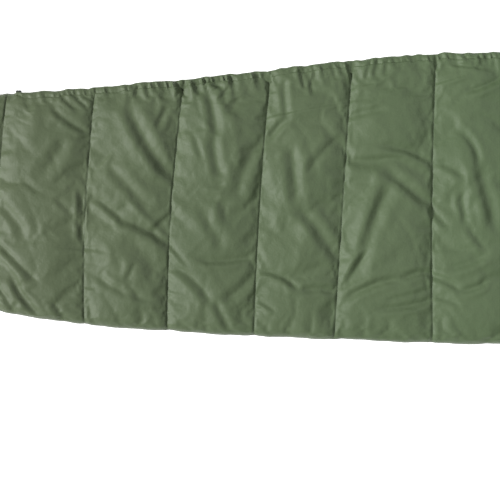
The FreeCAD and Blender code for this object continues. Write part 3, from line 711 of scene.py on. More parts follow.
# ------------------------------------------------------------------ finishes
@dataclass(frozen=True)
class Cloth:
    """A woven cloth: its colour, its gloss, the crinkle and the threads in its surface.

    Its colour is painted darker at the foot and lighter and greener towards the head: painted shade
    and painted light along its length.
    """

    name: str
    colour: Colour
    faded: Colour
    roughness: float
    sheen: float
    crinkle: float
    threads_per_metre: float
    thread_depth: float
    # painted shade at the foot and painted light at the head, blended along the object's x
    foot_painted_shade: Colour = (1.0, 1.0, 1.0)
    head_painted_light: Colour = (1.0, 1.0, 1.0)

    def material(self) -> bpy.types.Material:
        """The cloth's material."""
        paint = Paint(self.name)
        patches = paint.noise(5.0, 3.0)
        mottle = paint.noise(90.0, 3.0)
        warp, weft = (paint.stripes(self.threads_per_metre, axis) for axis in "XY")
        threads = warp + weft
        tone = patches * 0.75 + mottle * 0.25
        dyed = paint.between((tone - 0.3) * 2.2, self.colour, self.faded)
        along = paint.node("ShaderNodeSeparateXYZ", {}, {"Vector": paint.place()}, "X")
        # painted shade and light: the colour runs from darker at the foot to lighter and greener at
        # the head, by the object's x
        painted_light_gradient = paint.between(along * 0.75 + 0.5, self.foot_painted_shade, self.head_painted_light)
        colour = paint.node("ShaderNodeVectorMath", {"operation": "MULTIPLY"}, {0: dyed, 1: painted_light_gradient})
        crumple = paint.noise(75.0, 4.0) * 0.7 + paint.noise(260.0, 3.0) * 0.3
        height = crumple * self.crinkle + threads * self.thread_depth
        return paint.finish({
            "Base Color": colour,
            "Roughness": self.roughness + (mottle - 0.5) * 0.12,
            "Sheen Weight": self.sheen,
            "Sheen Roughness": 0.4,
            "Specular IOR Level": 0.30,
            "Normal": paint.bump(height, 1.0),
        })


@dataclass(frozen=True)
class Webbing:
    """Ribbed tape or webbing."""

    name: str
    colour: Colour
    ribs_per_metre: float
    rib_axis: str = "X"

    def material(self) -> bpy.types.Material:
        """The tape's material."""
        paint = Paint(self.name)
        ribs = paint.stripes(self.ribs_per_metre, self.rib_axis)
        speck = paint.noise(900.0, 2.0)
        # painted shade and light: a darker copy of the colour in the grooves and a lighter copy on
        # the ribs, following the bump's stripes, with random specks mixed in
        dark, light = shade(self.colour, 0.7), shade(self.colour, 1.35)
        colour = paint.between(ribs * 0.6 + speck * 0.4, dark, light)
        return paint.finish({
            "Base Color": colour, "Roughness": 0.78 + (speck - 0.5) * 0.1, "Sheen Weight": 0.2,
            "Normal": paint.bump(ribs * 0.7 + speck * 0.3, 0.0004)})


@dataclass(frozen=True)
class Hardware:
    """Metal or hard plastic with fine scratches and a worn tone."""

    name: str
    colour: Colour
    worn: Colour
    metallic: float
    roughness: float

    def material(self) -> bpy.types.Material:
        """The hardware's material."""
        paint = Paint(self.name)
        scuffs = paint.noise(650.0, 4.0, (1, 1, 4))
        colour = paint.between((scuffs - 0.55) * 5.0, self.colour, self.worn)
        return paint.finish({
            "Base Color": colour, "Metallic": self.metallic,
            "Roughness": self.roughness + (scuffs - 0.5) * 0.25,
            "Normal": paint.bump(scuffs, 0.00008)})


def made(finish: Cloth | Webbing | Hardware) -> bpy.types.Material:
    """A dataclass field that holds the finish's material."""
    return field(default_factory=finish.material)


@dataclass
class Finishes:
    """Every finish of the sack, made once."""

    shell: bpy.types.Material = made(Cloth(
        "olive_taffeta", (0.082, 0.114, 0.058), (0.097, 0.130, 0.069), roughness=0.54, sheen=0.05,
        crinkle=0.0016, threads_per_metre=1900.0, thread_depth=0.00004,
        # painted shade at the foot, painted light with a greener cast at the head
        foot_painted_shade=(0.97, 0.925, 0.94), head_painted_light=(1.06, 1.15, 1.08)))
    lining: bpy.types.Material = made(Cloth(
        "dark_olive_lining", (0.050, 0.064, 0.044), (0.064, 0.080, 0.056), roughness=0.72,
        sheen=0.35, crinkle=0.0012, threads_per_metre=1500.0, thread_depth=0.00005))
    thread: bpy.types.Material = made(Webbing("olive_thread", (0.085, 0.112, 0.066), 2600.0))
    binding: bpy.types.Material = made(Webbing("dark_grosgrain", (0.060, 0.076, 0.050), 700.0, "Y"))
    zip_tape: bpy.types.Material = made(Webbing("black_zip_tape", (0.018, 0.020, 0.018), 900.0))
    coil: bpy.types.Material = made(Hardware(
        "black_zip_coil", (0.016, 0.016, 0.016), (0.05, 0.05, 0.05), metallic=0.0, roughness=0.38))
    stop: bpy.types.Material = made(Hardware(
        "pale_stop_metal", (0.62, 0.62, 0.58), (0.40, 0.40, 0.38), metallic=0.9, roughness=0.35))
    slider: bpy.types.Material = made(Hardware(
        "black_enamel", (0.020, 0.020, 0.020), (0.12, 0.12, 0.12), metallic=0.35, roughness=0.34))
    eyelet: bpy.types.Material = made(Hardware(
        "dark_eyelet", (0.050, 0.055, 0.045), (0.24, 0.22, 0.16), metallic=0.8, roughness=0.36))
    webbing: bpy.types.Material = made(Webbing("dark_webbing", (0.030, 0.036, 0.028), 520.0, "Y"))


# ------------------------------------------------------------------ joints that cloth crosses
@dataclass(frozen=True)
class CoverFold:
    """The line across which the upper panel folds back, and the band of cloth that bends there."""

    band: float = 0.055
    along: float = 0.75

    def bend(self, piece: bpy.types.Object) -> None:
        """Bake a piece's placement into its mesh; the ends of the band across the fold are worked
        out but not used.
        """
        joint = joint_named("cover_fold")
        axis = Vector(joint["axis"])
        middle = Vector(joint["pos_m"]) + axis * self.along
        outward = Vector((0, 0, 1)).cross(axis)
        start, end = middle - outward * self.band, middle + outward * self.band
        tuple(start)
        tuple(end)
        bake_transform(piece)


@dataclass(frozen=True)
class HoodFold:
    """The line where the hood lifts off the ground."""

    before: float = 0.035
    after: float = 0.025

    def bend(self, piece: bpy.types.Object) -> None:
        """Bake a piece's placement into its mesh; the fold's two edges are worked out but not used.
        """
        x, _, z = joint_named("hood_fold")["pos_m"]
        x - self.before
        x + self.after
        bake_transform(piece)


# ------------------------------------------------------------------ upper panel
@dataclass(frozen=True)
class SkinRelief:
    """How high the parts of the upper skin's surface stand and how far they reach, in metres."""

    seam_puckers: float = 0.0014
    seam_reach: float = 0.015
    gather: float = 0.0028
    gather_reach: float = 0.012
    long_gather: float = 0.0026
    long_gather_reach: float = 0.036
    far_waves: float = 0.0017
    far_reach: float = 0.030
    broad: float = 0.0013
    crumple: float = 0.0018
    facets: float = 0.0011
    fine: float = 0.0006
    calm_reach: float = 0.02
    over_crown: float = 0.0060
    folds: float = 1.45


@dataclass
class UpperPanel:
    """The quilted upper panel: its olive skin, filling and lining as one padded piece."""

    plan: SackPlan
    finishes: Finishes
    parts: SkinRelief = SkinRelief()
    columns: int = 440
    rows: int = 152
    crown_z: float = 0.0560
    valley_z: float = 0.0455
    lining_z: float = 0.0385
    zip_edge_z: float = 0.0430
    mouth_edge_z: float = 0.0480
    flap_width: float = 0.013
    edge_radius: float = 0.030
    surplus: float = 0.016
    drape: Array | None = None

    def stations(self, columns: int) -> Array:
        """Every column's place in the straight pattern: close together at the foot and seams."""
        plan = self.plan
        fine = np.linspace(plan.foot_x, plan.opening_x, 4000)
        distance, _, _ = plan.channel(fine)
        foot = fine - plan.foot_x
        density = 1 + 1.6 * bell(distance, 0.012)
        density = density + 9 * fade(foot, 0.005) + 1.5 * fade(foot, 0.03)
        share = np.concatenate([[0.0], np.cumsum((density[1:] + density[:-1]) / 2)])
        places = np.interp(np.linspace(0, share[-1], columns + 1), share, fine)
        for station in plan.seam_stations:
            places[np.argmin(np.abs(places - station))] = station
        return places

    def shares(self, rows: int) -> Array:
        """The share of the width at every row, closer together at both sides."""
        even = np.linspace(0, 1, rows + 1)
        return even - 0.38 * np.sin(math.tau * even) / math.tau

    def sides(self, x: Array) -> tuple[Array, Array]:
        """The panel's far side and zip side at each x."""
        far, near = self.plan.sides(x)
        return far, near - self.flap_width * self.plan.zip_part(x)

    def rim_z(self, x: Array, share: Array) -> Array:
        """The height of the panel's rim."""
        edge_z, lower_by = self.plan.edge_z, 0.0010
        zip_rise = self.zip_edge_z - edge_z + lower_by
        side = edge_z - lower_by + zip_rise * self.plan.zip_part(x) * smooth(share)
        mouth = smooth((x - self.plan.opening_x + 0.03) / 0.03)
        return side + (self.mouth_edge_z - side) * mouth

    def rounding(self, x: Array, y: Array, radius: float) -> Array:
        """How far the surface has risen from the rim, from 0 to 1."""
        far, near = self.sides(x)
        zip_part, flap_radius = self.plan.zip_part(x), 0.0055
        near_roll = roll(near - y, radius) * (1 - zip_part) + roll(near - y, flap_radius) * zip_part
        foot = roll(x - self.plan.foot_x, radius)
        mouth = roll(self.plan.opening_x - x, 0.012)
        return roll(y - far, radius) * near_roll * foot * mouth

    def gather(self, x: Array, y: Array) -> Array:
        """Puckers that run in from the gathered zip edge."""
        lean = x + 0.25 * (y - self.plan.chest_half)
        patch = 0.55 + 0.9 * smooth(0.5 + 0.6 * EDGE_GRAIN.at(x * 8, 0 * x + 3))
        wide, fine = EDGE_GRAIN.at(lean * 58, y * 9), EDGE_GRAIN.at(lean * 118, y * 14)
        sharp = 1 - 2.2 * np.sqrt(np.abs(EDGE_GRAIN.at(lean * 74 + 3, y * 10 + 5)))
        return patch * (0.8 * wide + 0.6 * fine + 0.9 * sharp)

    def channel_dome(self, straight: Array, y: Array) -> Array:
        """The skin's height between seams: each seam is steep to the foot, soft to the head."""
        distance, share, number = self.plan.channel(straight)
        edgeward = smooth((y / self.plan.chest_half - 0.55) / 0.3)
        pull = np.clip(0.85 + 0.30 * GRAIN.at(y * 9, number * 3.7) + 0.40 * edgeward, 0.5, 1.25)
        head_side = straight > self.plan.first_seam + self.plan.seam_pitch * number
        sharp = np.where(head_side, 0.20, 0.42)
        dome = sharp * (1 - fade(distance, np.where(head_side, 0.0060, 0.0026)))
        dome = dome + (0.66 - sharp) * (1 - fade(distance, np.where(head_side, 0.024, 0.018)))
        dome = dome + 0.34 * np.sin(math.pi * share) ** 0.8
        return self.crown_z - (self.crown_z - self.valley_z) * pull * (1 - dome)

    def relief(self, straight: Array, x: Array, y: Array) -> Array:
        """The height of the skin over the filling, without its rounded rim."""
        parts = self.parts
        distance, _, number = self.plan.channel(straight)
        height = self.channel_dome(straight, y)
        patches = 0.5 + 0.8 * smooth(0.5 + GRAIN.at(y * 11, number * 5.3))
        near_seam = fade(distance, parts.seam_reach) * patches
        puckers = GRAIN.at(y * 58 + 9 * number, x * 14) + 0.6 * GRAIN.at(y * 120, x * 30 + number)
        height = height + parts.seam_puckers * puckers * near_seam * smooth(distance / 0.004)
        far, near = self.sides(x)
        inward, outward = np.abs(near - y), np.abs(y - far)
        gather = self.gather(x, y) * self.plan.zip_part(x)
        short, long = fade(inward, parts.gather_reach), bell(inward, parts.long_gather_reach)
        height = height + gather * (parts.gather * short + parts.long_gather * long)
        waves = parts.far_waves * EDGE_GRAIN.at(x * 48, y * 12)
        height = height + waves * fade(outward, parts.far_reach)
        broad = GRAIN.layered(x * 9 + 0.5 * y * 9, y * 7, 2)
        facets = FINE_GRAIN.creased(x * 24 + y * 9, y * 19 - x * 12) - 0.3
        crumple = GRAIN.creased(x * 17 + y * 6, y * 11 - x * 5) - 0.35
        fine = FINE_GRAIN.creased(x * 46 - y * 12, y * 33 + x * 9) - 0.3
        calm = smooth(distance / parts.calm_reach)
        height = height + parts.broad * broad * calm - parts.crumple * crumple * calm
        height = height + parts.facets * facets * calm - parts.fine * fine
        for fold in FOLDS:
            height = height + parts.folds * fold.height(x, y)
        return np.minimum(height, self.crown_z + parts.over_crown)

    def plan_points(self, column: Array, row: Array, columns: int,
                    rows: int) -> tuple[Array, Array, Array, Array]:
        """The straight pattern's place, the x, the y and the share of the width of grid points."""
        straight = self.stations(columns)[column]
        share = self.shares(rows)[row]
        far, near = self.sides(straight)
        x = self.plan.warp(straight, far + (near - far) * share)
        far, near = self.sides(x)
        return straight, x, far + (near - far) * share, share

    def skin_z(self, straight: Array, x: Array, y: Array, share: Array) -> Array:
        """The skin's height with its rounded rim."""
        rim = self.rim_z(x, share)
        rounding = self.rounding(x, y, self.edge_radius)
        return rim + (self.relief(straight, x, y) - rim) * rounding

    def top(self, column: Array, row: Array, columns: int, rows: int) -> Array:
        """The skin's points before it is draped."""
        straight, x, y, share = self.plan_points(column, row, columns, rows)
        return np.stack([x, y, self.skin_z(straight, x, y, share)], axis=1)

    def draped_top(self, column: Array, row: Array) -> Array:
        """The skin's points with the simulated drape added."""
        points = self.top(column, row, self.columns, self.rows)
        if self.drape is None:
            return points
        coarse_columns, coarse_rows = self.drape.shape[0] - 1, self.drape.shape[1] - 1
        along = column / self.columns * coarse_columns
        across = row / self.rows * coarse_rows
        left = np.minimum(along.astype(int), coarse_columns - 1)
        low = np.minimum(across.astype(int), coarse_rows - 1)
        u, v = (along - left)[:, None], (across - low)[:, None]
        first = self.drape[left, low] * (1 - u) + self.drape[left + 1, low] * u
        second = self.drape[left, low + 1] * (1 - u) + self.drape[left + 1, low + 1] * u
        return points + first * (1 - v) + second * v

    def underside(self, column: Array, row: Array) -> Array:
        """The lining's points: pulled up a little at the seams."""
        straight, x, y, share = self.plan_points(column, row, self.columns, self.rows)
        distance, _, number = self.plan.channel(straight)
        rim = self.rim_z(x, share)
        deepest, radius = 0.0022, 0.018
        sag = deepest * (1 - fade(distance, 0.02)) + 0.0009 * GRAIN.layered(x * 14, y * 14 + 5)
        puckers = 0.0007 * FINE_GRAIN.at(y * 60 + number, x * 16) * fade(distance, 0.02)
        level = self.lining_z + deepest - sag + puckers
        return np.stack([x, y, rim + (level - rim) * self.rounding(x, y, radius)], axis=1)

    def simulate(self, columns: int = 200, rows: int = 72, frames: int = 20,
                 cap: float = 0.009) -> None:
        """Drape the skin: surplus cloth is held along the seams and rim, and the rest settles.

        Args:
            columns: Faces along the simulated cloth.
            rows: Faces across it.
            frames: How many frames it settles for.
            cap: The furthest that a point may move.
        """
        shape, column, row = open_grid(columns, rows)
        rest = self.top(column, row, columns, rows)
        place_points(shape, rest)
        distance, _, _ = self.plan.channel(self.stations(columns)[column])
        cloth = new_mesh("drape_study", shape, [])
        rim = (column == 0) | (column == columns) | (row <= 1) | (row >= rows - 1)
        held = cloth.vertex_groups.new(name="held")
        pinned = np.where((distance < 0.003) | rim)[0]
        held.add(pinned.tolist(), 1.0, "REPLACE")
        modifier = cloth.modifiers.new("Cloth", "CLOTH")
        modifier.settings.effector_weights.gravity = 0
        for name, value in {
                "quality": 5, "mass": 0.12, "tension_stiffness": 18, "compression_stiffness": 18,
                "shear_stiffness": 6, "bending_stiffness": 0.25, "shrink_min": -self.surplus,
                "use_pressure": True, "uniform_pressure_force": 0.35,
                "vertex_group_mass": "held"}.items():
            setattr(modifier.settings, name, value)
        modifier.collision_settings.use_collision = False
        scene = bpy.context.scene
        for number in range(1, frames + 1):
            scene.frame_set(number)
        settled = cloth.evaluated_get(bpy.context.evaluated_depsgraph_get()).to_mesh()
        moved = np.empty(len(settled.vertices) * 3)
        settled.vertices.foreach_get("co", moved)
        shift = moved.reshape(-1, 3) - rest
        reach = np.linalg.norm(shift, axis=1, keepdims=True)
        shift = shift * (np.tanh(reach / cap) * cap / np.maximum(reach, 1e-9))
        clear_of_foot = 0.035
        shift = shift * smooth((rest[:, :1] - self.plan.foot_x) / clear_of_foot)
        drape = np.zeros((columns + 1, rows + 1, 3))
        drape[column, row] = shift
        self.drape = drape
        LOG.info("draped: largest move %.1f mm, mean %.2f mm",
                 1000 * reach.max(), 1000 * reach.mean())
        bpy.data.objects.remove(cloth, do_unlink=True)
        scene.frame_set(1)

    def build(self, fold: CoverFold) -> bpy.types.Object:
        """Make the padded piece, bake its placement and hide the frame's parts that it replaces."""
        self.simulate()
        shape = padded_shape(self.columns, self.rows, self.draped_top, self.underside)
        piece = new_mesh("upper_quilted_panel", shape, [self.finishes.shell, self.finishes.lining])
        fold.bend(piece)
        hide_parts(*(f"upper_{layer}_{side}" for layer in ("shell", "batt", "liner")
                             for side in ("fixed", "cover")))
        return piece

    def height_at(self, number: int, x: Array, y: Array) -> Array:
        """The skin's height along a seam, which the drape leaves where it is."""
        share = np.clip((y + self.plan.chest_half) / (2 * self.plan.chest_half), 0, 1)
        straight = 0 * y + self.plan.first_seam + self.plan.seam_pitch * number
        return self.skin_z(straight, x, y, share)


GRAIN = Grain(seed=5)
EDGE_GRAIN = Grain(seed=17)
FINE_GRAIN = Grain(seed=29)
FOLDS = LYING_FOLDS + unseen_folds()


# ------------------------------------------------------------------ lower panel and hood
@dataclass
class LowerPanel:
    """The lower panel and the hood that continues it: one padded piece, its lining on top."""

    plan: SackPlan
    finishes: Finishes
    columns: int = 380
    rows: int = 110
    corner_columns: int = 18
    lining_z: float = 0.0222
    groove: float = 0.0034
    open_rim_z: float = 0.0112
    edge_radius: float = 0.026
    tip_radius: float = 0.022
    tip_length: float = 0.16
    quilt_end_x: float = 0.70
    hood_seam_x: float = 0.9305

    def stations(self) -> Array:
        """The x of every column, closer together at the foot corners and the hood's tip."""
        plan, corner = self.plan, self.corner_columns
        turn = np.linspace(0, math.pi / 2, corner, endpoint=False)
        bent = plan.foot_x + plan.corner_radius * (1 - np.cos(turn))
        tip_start = plan.head_x - self.tip_length
        tip = tip_start + self.tip_length * np.sin(np.linspace(0, math.pi / 2, 2 * corner + 1))[1:]
        corner_end, rest = plan.foot_x + plan.corner_radius, self.columns + 1 - 3 * corner
        straight = np.linspace(corner_end, tip_start, rest)
        return np.concatenate([bent, straight, tip])

    def points(self, column: Array, row: Array) -> tuple[Array, Array, Array, Array]:
        """The x, y, rim height and rounding of grid points."""
        x = self.stations()[column]
        even = row / self.rows
        share = even - 0.45 * np.sin(math.tau * even) / math.tau
        far, near = self.plan.sides(x, waves=smooth((self.plan.head_x - x) / 0.05))
        y = far + (near - far) * share
        zip_part = self.plan.zip_part(x) * smooth(share)
        mouth = smooth((x - self.plan.opening_x + 0.02) / 0.03)
        closed_rim_z = self.plan.edge_z + 0.0012
        rim = closed_rim_z + (self.open_rim_z - closed_rim_z) * np.maximum(zip_part, mouth)
        sides = roll(y - far, self.edge_radius) * roll(near - y, self.edge_radius)
        foot = roll(x - self.plan.foot_x, self.edge_radius)
        rounding = sides * foot * roll(self.plan.head_x - x, self.tip_radius)
        return x, y, rim, rounding

    def seam_distance(self, x: Array, y: Array) -> tuple[Array, Array]:
        """The distance to the nearest seam of the panel or the hood, and the seam's number."""
        end = self.quilt_end_x
        distance, _, number = self.plan.seam_distance(np.minimum(x, end), y)
        hood = np.minimum(np.abs(x - self.hood_seam_x), distance + (x - end))
        return np.where(x > end, hood, distance), number

    def top(self, column: Array, row: Array) -> Array:
        """The lining that the sleeper lies on."""
        x, y, rim, rounding = self.points(column, row)
        distance, number = self.seam_distance(x, y)
        puckers = 0.0007 * FINE_GRAIN.at(y * 60 + number, x * 16) * fade(distance, 0.02)
        groove = self.groove * fade(distance, 0.012)
        soft = 0.0008 * GRAIN.layered(x * 12, y * 12 + 3) + 0.0006 * GRAIN.creased(x * 25, y * 25)
        level = self.lining_z - groove + puckers + soft * 0.8 - 0.0006
        return np.stack([x, y, rim + (level - rim) * rounding], axis=1)

    def bottom(self, column: Array, row: Array) -> Array:
        """The skin on the ground: flat, with its seams drawn up a little."""
        x, y, rim, rounding = self.points(column, row)
        distance, _ = self.seam_distance(x, y)
        lift = 0.0032 * fade(distance, 0.010) + 0.0008 * np.abs(GRAIN.layered(x * 20, y * 20))
        return np.stack([x, y, rim + (lift - rim) * rounding], axis=1)

    def build(self, fold: HoodFold) -> bpy.types.Object:
        """Make the padded piece, bake its placement and hide the frame's parts that it replaces."""
        shape = padded_shape(self.columns, self.rows, self.top, self.bottom)
        piece = new_mesh("lower_quilted_panel", shape, [self.finishes.lining, self.finishes.shell])
        fold.bend(piece)
        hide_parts("lower_shell", "lower_batt", "lower_liner", "foot_wall", "far_side_wall",
                    "near_side_wall", "hood_shell", "hood_batt", "hood_liner")
        return piece


# ------------------------------------------------------------------ stitching
@dataclass
class Stitching:
    """Rows of short thread stitches that lie along seams."""

    finishes: Finishes
    pitch: float = 0.0045
    length: float = 0.0030
    radius: float = 0.00045

    def row(self, name: str, path: Array) -> bpy.types.Object:
        """Stitches along a path.

        Args:
            name: The piece's name.
            path: Points that the thread follows, one stitch's pitch apart. A row of not-a-number
                is a break.

        Returns:
            The piece with every stitch.
        """
        places = []
        for start, end in zip(path[:-1], path[1:]):
            if np.isnan(start).any() or np.isnan(end).any():
                continue
            run = Vector(end - start)
            turn = Vector((1, 0, 0)).rotation_difference(run).to_matrix().to_4x4()
            places.append(Matrix.Translation(Vector((start + end) / 2)) @ turn)
        shape = bmesh.new()
        scale = Matrix.Diagonal((self.length / 2, self.radius * 1.5, self.radius, 1))
        bmesh.ops.create_uvsphere(shape, u_segments=6, v_segments=4, radius=1.0, matrix=scale)
        return repeated(name, shape, places, self.finishes.thread)

    def seams(self, name: str, plan: SackPlan, far_share: float, near_share: float,
              height: Callable[[int, Array, Array], Array]) -> bpy.types.Object:
        """Stitches along every cross seam.

        Args:
            name: The piece's name.
            plan: The sack's outline and seams.
            far_share: How much of the half width the stitches reach on the far side.
            near_share: How much of it they reach on the zip side.
            height: Gives the thread's height from the seam's number and points on it.

        Returns:
            The piece with every stitch.
        """
        pieces = []
        for number in range(plan.seam_count):
            y = np.arange(-plan.chest_half, plan.chest_half, self.pitch)
            x = plan.seam_x(number, y)
            half, middle = plan.half_width(x), plan.middle(x)
            inside = (y > middle - half * far_share) & (y < middle + half * near_share)
            path = np.stack([x, y, height(number, x, y)], axis=1)[inside]
            pieces += [path, np.full((1, 3), np.nan)]
        return self.row(name, np.concatenate(pieces))


# ------------------------------------------------------------------ zip
@dataclass
class ZipLine:
    """The straight line that the zip runs along."""

    start: Vector = field(init=False)
    along: Vector = field(init=False)
    outward: Vector = field(init=False)

    def __post_init__(self) -> None:
        """Read the line from the frame."""
        self.along = Vector(joint_named("zip_slide")["axis"]).normalized()
        self.outward = Vector((0, 0, 1)).cross(self.along)
        low, high = (Vector(corner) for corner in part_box("slider_body"))
        centre = (low + high) / 2
        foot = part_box("lower_zip_tape")[0][0]
        self.start = centre - self.along * ((centre.x - foot) / self.along.x)
        self.start.z = 0.0

    @property
    def turn(self) -> Matrix:
        """The rotation from the frame's axes to along, out of and up from the line."""
        axes = (*self.along, 0), (*self.outward, 0), (0, 0, 1, 0), (0, 0, 0, 1)
        return Matrix(axes).transposed()

    def reach(self, node: str) -> tuple[float, float]:
        """How far along the line a CAD node starts and ends."""
        low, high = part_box(node)
        return (low[0] - self.start.x) / self.along.x, (high[0] - self.start.x) / self.along.x

    def points(self, along: Array, outward: Array, up: Array) -> Array:
        """Points from distances along the line, out of the sack and up."""
        base = np.array(self.start)[None, :] + np.outer(along, np.array(self.along))
        points = base + np.outer(outward, np.array(self.outward))
        points[:, 2] = up
        return points


@dataclass
class Zip:
    """Tapes, coils and stops, and the trim behind them."""

    line: ZipLine
    finishes: Finishes
    fold: CoverFold
    tape_width: float = 0.016
    tape_thick: float = 0.0006
    tooth_pitch: float = 0.0022
    tooth_size: tuple[float, float, float] = (0.00082, 0.00150, 0.00150)
    tooth_lift: float = 0.00165
    clip_width: float = 0.0038
    tube_offset: float = -0.054
    tube_half_width: float = 0.0098
    ribbon_sides: tuple[float, float] = (-0.016, -0.006)
    chain_z: float = 0.0300

    def tape(self, side: str) -> bpy.types.Object:
        """One tape: sewn flat to its panel, then turned up or down to its coil."""
        start, end = self.line.reach(f"{side}_zip_tape")
        low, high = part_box(f"{side}_zip_tape")
        upright = 1 if side == "lower" else -1
        half_thick = self.tape_thick / 2
        flat_z = low[2] + half_thick if side == "lower" else high[2] - half_thick
        below_chain, bend = 0.0012, 0.0018
        coil_z = self.chain_z - upright * below_chain
        run = self.tape_width + abs(coil_z - flat_z)
        rail_end = self.line.reach(f"{side}_zip_coil")[1]

        def surface(share: Array, turn: Array) -> Array:
            """Points of the folded strip: once round its section is one turn."""
            half = turn / math.tau
            there = np.where(half < 0.5, half * 2, 2 - half * 2)
            face = np.where((half > 0) & (half < 0.5), 1.0, -1.0)
            face = np.where((half == 0) | (half == 0.5) | (half == 1), 0.0, face)
            place = there * run
            length = start + share * (end - start)
            upturned = smooth((rail_end + 0.004 - length) / 0.006)
            lifted = np.clip(place - self.tape_width, 0, None) * upturned
            blend_in = smooth((place - self.tape_width + bend) / (2 * bend))
            ripple = 0.0004 * GRAIN.at(length * 30, place * 20)
            outward = np.minimum(place, self.tape_width) - self.tape_width
            outward = outward + ripple * (1 - blend_in) + face * half_thick * blend_in
            up = flat_z + upright * lifted + face * upright * half_thick * (1 - blend_in) + ripple
            return self.line.points(length, outward, up)

        shape = tube_shape(surface, lengthwise=360, around=28)
        piece = new_mesh(f"{side}_zip_tape_cloth", shape, [self.finishes.zip_tape])
        self.attach(piece, side)
        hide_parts(f"{side}_zip_tape")
        return piece

    def attach(self, piece: bpy.types.Object, side: str) -> None:
        """The lower half is parented to the sack; the upper half only has its placement baked into
        its mesh.
        """
        if side == "lower":
            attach(piece, "sack")
        else:
            self.fold.bend(piece)

    def coil(self, side: str) -> bpy.types.Object:
        """One row of the coil's teeth, offset by half a pitch from the other row."""
        start, end = self.line.reach(f"{side}_zip_coil")
        upright = 1 if side == "lower" else -1
        offset = 0.0 if side == "lower" else self.tooth_pitch / 2
        margin = 0.001
        count = int((end - start - 2 * margin) / self.tooth_pitch)
        places = []
        for number in range(count):
            along = start + margin + offset + number * self.tooth_pitch
            centre = self.line.start + self.line.along * along
            centre.z = self.chain_z - upright * self.tooth_lift
            places.append(Matrix.Translation(centre) @ self.line.turn)
        shape = bmesh.new()
        scale = Matrix.Diagonal((*self.tooth_size, 1))
        bmesh.ops.create_uvsphere(shape, u_segments=8, v_segments=5, radius=1.0, matrix=scale)
        piece = repeated(f"{side}_coil_teeth", shape, places, self.finishes.coil)
        self.attach(piece, side)
        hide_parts(f"{side}_zip_coil")
        return piece

    def stop(self, node: str, body: str) -> bpy.types.Object:
        """A crimped stop: a small bevelled clip with a pressed groove."""
        low, high = (Vector(corner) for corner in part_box(node))
        size, centre = high - low, (high + low) / 2
        shape = bmesh.new()
        place = Matrix.Translation(centre) @ self.line.turn
        scale = Matrix.Diagonal((self.clip_width, self.clip_width, size.z, 1))
        bmesh.ops.create_cube(shape, size=1.0, matrix=place @ scale)
        outer = [face for face in shape.faces if abs(face.normal.dot(self.line.outward)) > 0.9]
        bmesh.ops.inset_individual(shape, faces=outer, thickness=0.0008, depth=-0.0003)
        soften(shape)
        piece = new_mesh(f"{node}_clip", shape, [self.finishes.stop])
        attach(piece, body)
        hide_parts(node)
        return piece

    def draft_tube(self) -> bpy.types.Object:
        """The padded tube that keeps draughts off the zip."""
        start, end = self.line.reach("draft_tube")
        low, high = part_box("draft_tube")
        depth, margin = (high[2] - low[2]) / 2, 0.004

        def surface(share: Array, turn: Array) -> Array:
            """Points of the soft tube."""
            length = start + margin + share * (end - start - 2 * margin)
            gathers = 0.06 * FINE_GRAIN.at(length * 90, turn)
            fullness = 0.90 + 0.10 * GRAIN.at(length * 24, turn * 0.6) + gathers
            ends = np.sqrt(np.clip(1 - (2 * share - 1) ** 40, 0.02, 1))
            outward = self.tube_offset + self.tube_half_width * np.cos(turn) * ends
            up = high[2] - depth + depth * np.sin(turn) * fullness * ends
            return self.line.points(length, outward, up)

        shape = tube_shape(surface, lengthwise=320, around=20)
        piece = new_mesh("draft_tube_padding", shape, [self.finishes.lining])
        self.fold.bend(piece)
        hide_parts("draft_tube")
        return piece

    def anti_snag(self) -> bpy.types.Object:
        """The stiff tape beside the cover's coil."""
        start, end = self.line.reach("anti_snag_tape")
        low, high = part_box("anti_snag_tape")
        low_side, high_side = self.ribbon_sides
        centre, half_width = (low_side + high_side) / 2, (high_side - low_side) / 2
        middle, thick, edge_power = (low[2] + high[2]) / 2, (high[2] - low[2]) / 2, 0.3

        def surface(share: Array, turn: Array) -> Array:
            """Points of the flat tape with rounded edges."""
            length = start + share * (end - start)
            outward = centre + half_width * boxed(np.cos(turn), edge_power)
            up = middle + thick * boxed(np.sin(turn), edge_power)
            return self.line.points(length, outward, up)

        shape = tube_shape(surface, lengthwise=280, around=12)
        piece = new_mesh("anti_snag_ribbon", shape, [self.finishes.binding])
        self.fold.bend(piece)
        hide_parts("anti_snag_tape")
        return piece

    def build(self) -> None:
        """Make every piece of the zip and dress its metal parts."""
        for side in ("lower", "upper"):
            self.tape(side)
            self.coil(side)
        self.stop("zip_bottom_stop", "sack")
        self.stop("zip_top_stop_lower", "sack")
        self.stop("zip_top_stop_upper", "cover")
        self.draft_tube()
        self.anti_snag()
        for node in ("slider_body", "outer_pull", "inner_pull"):
            dress_node(node, self.finishes.slider)


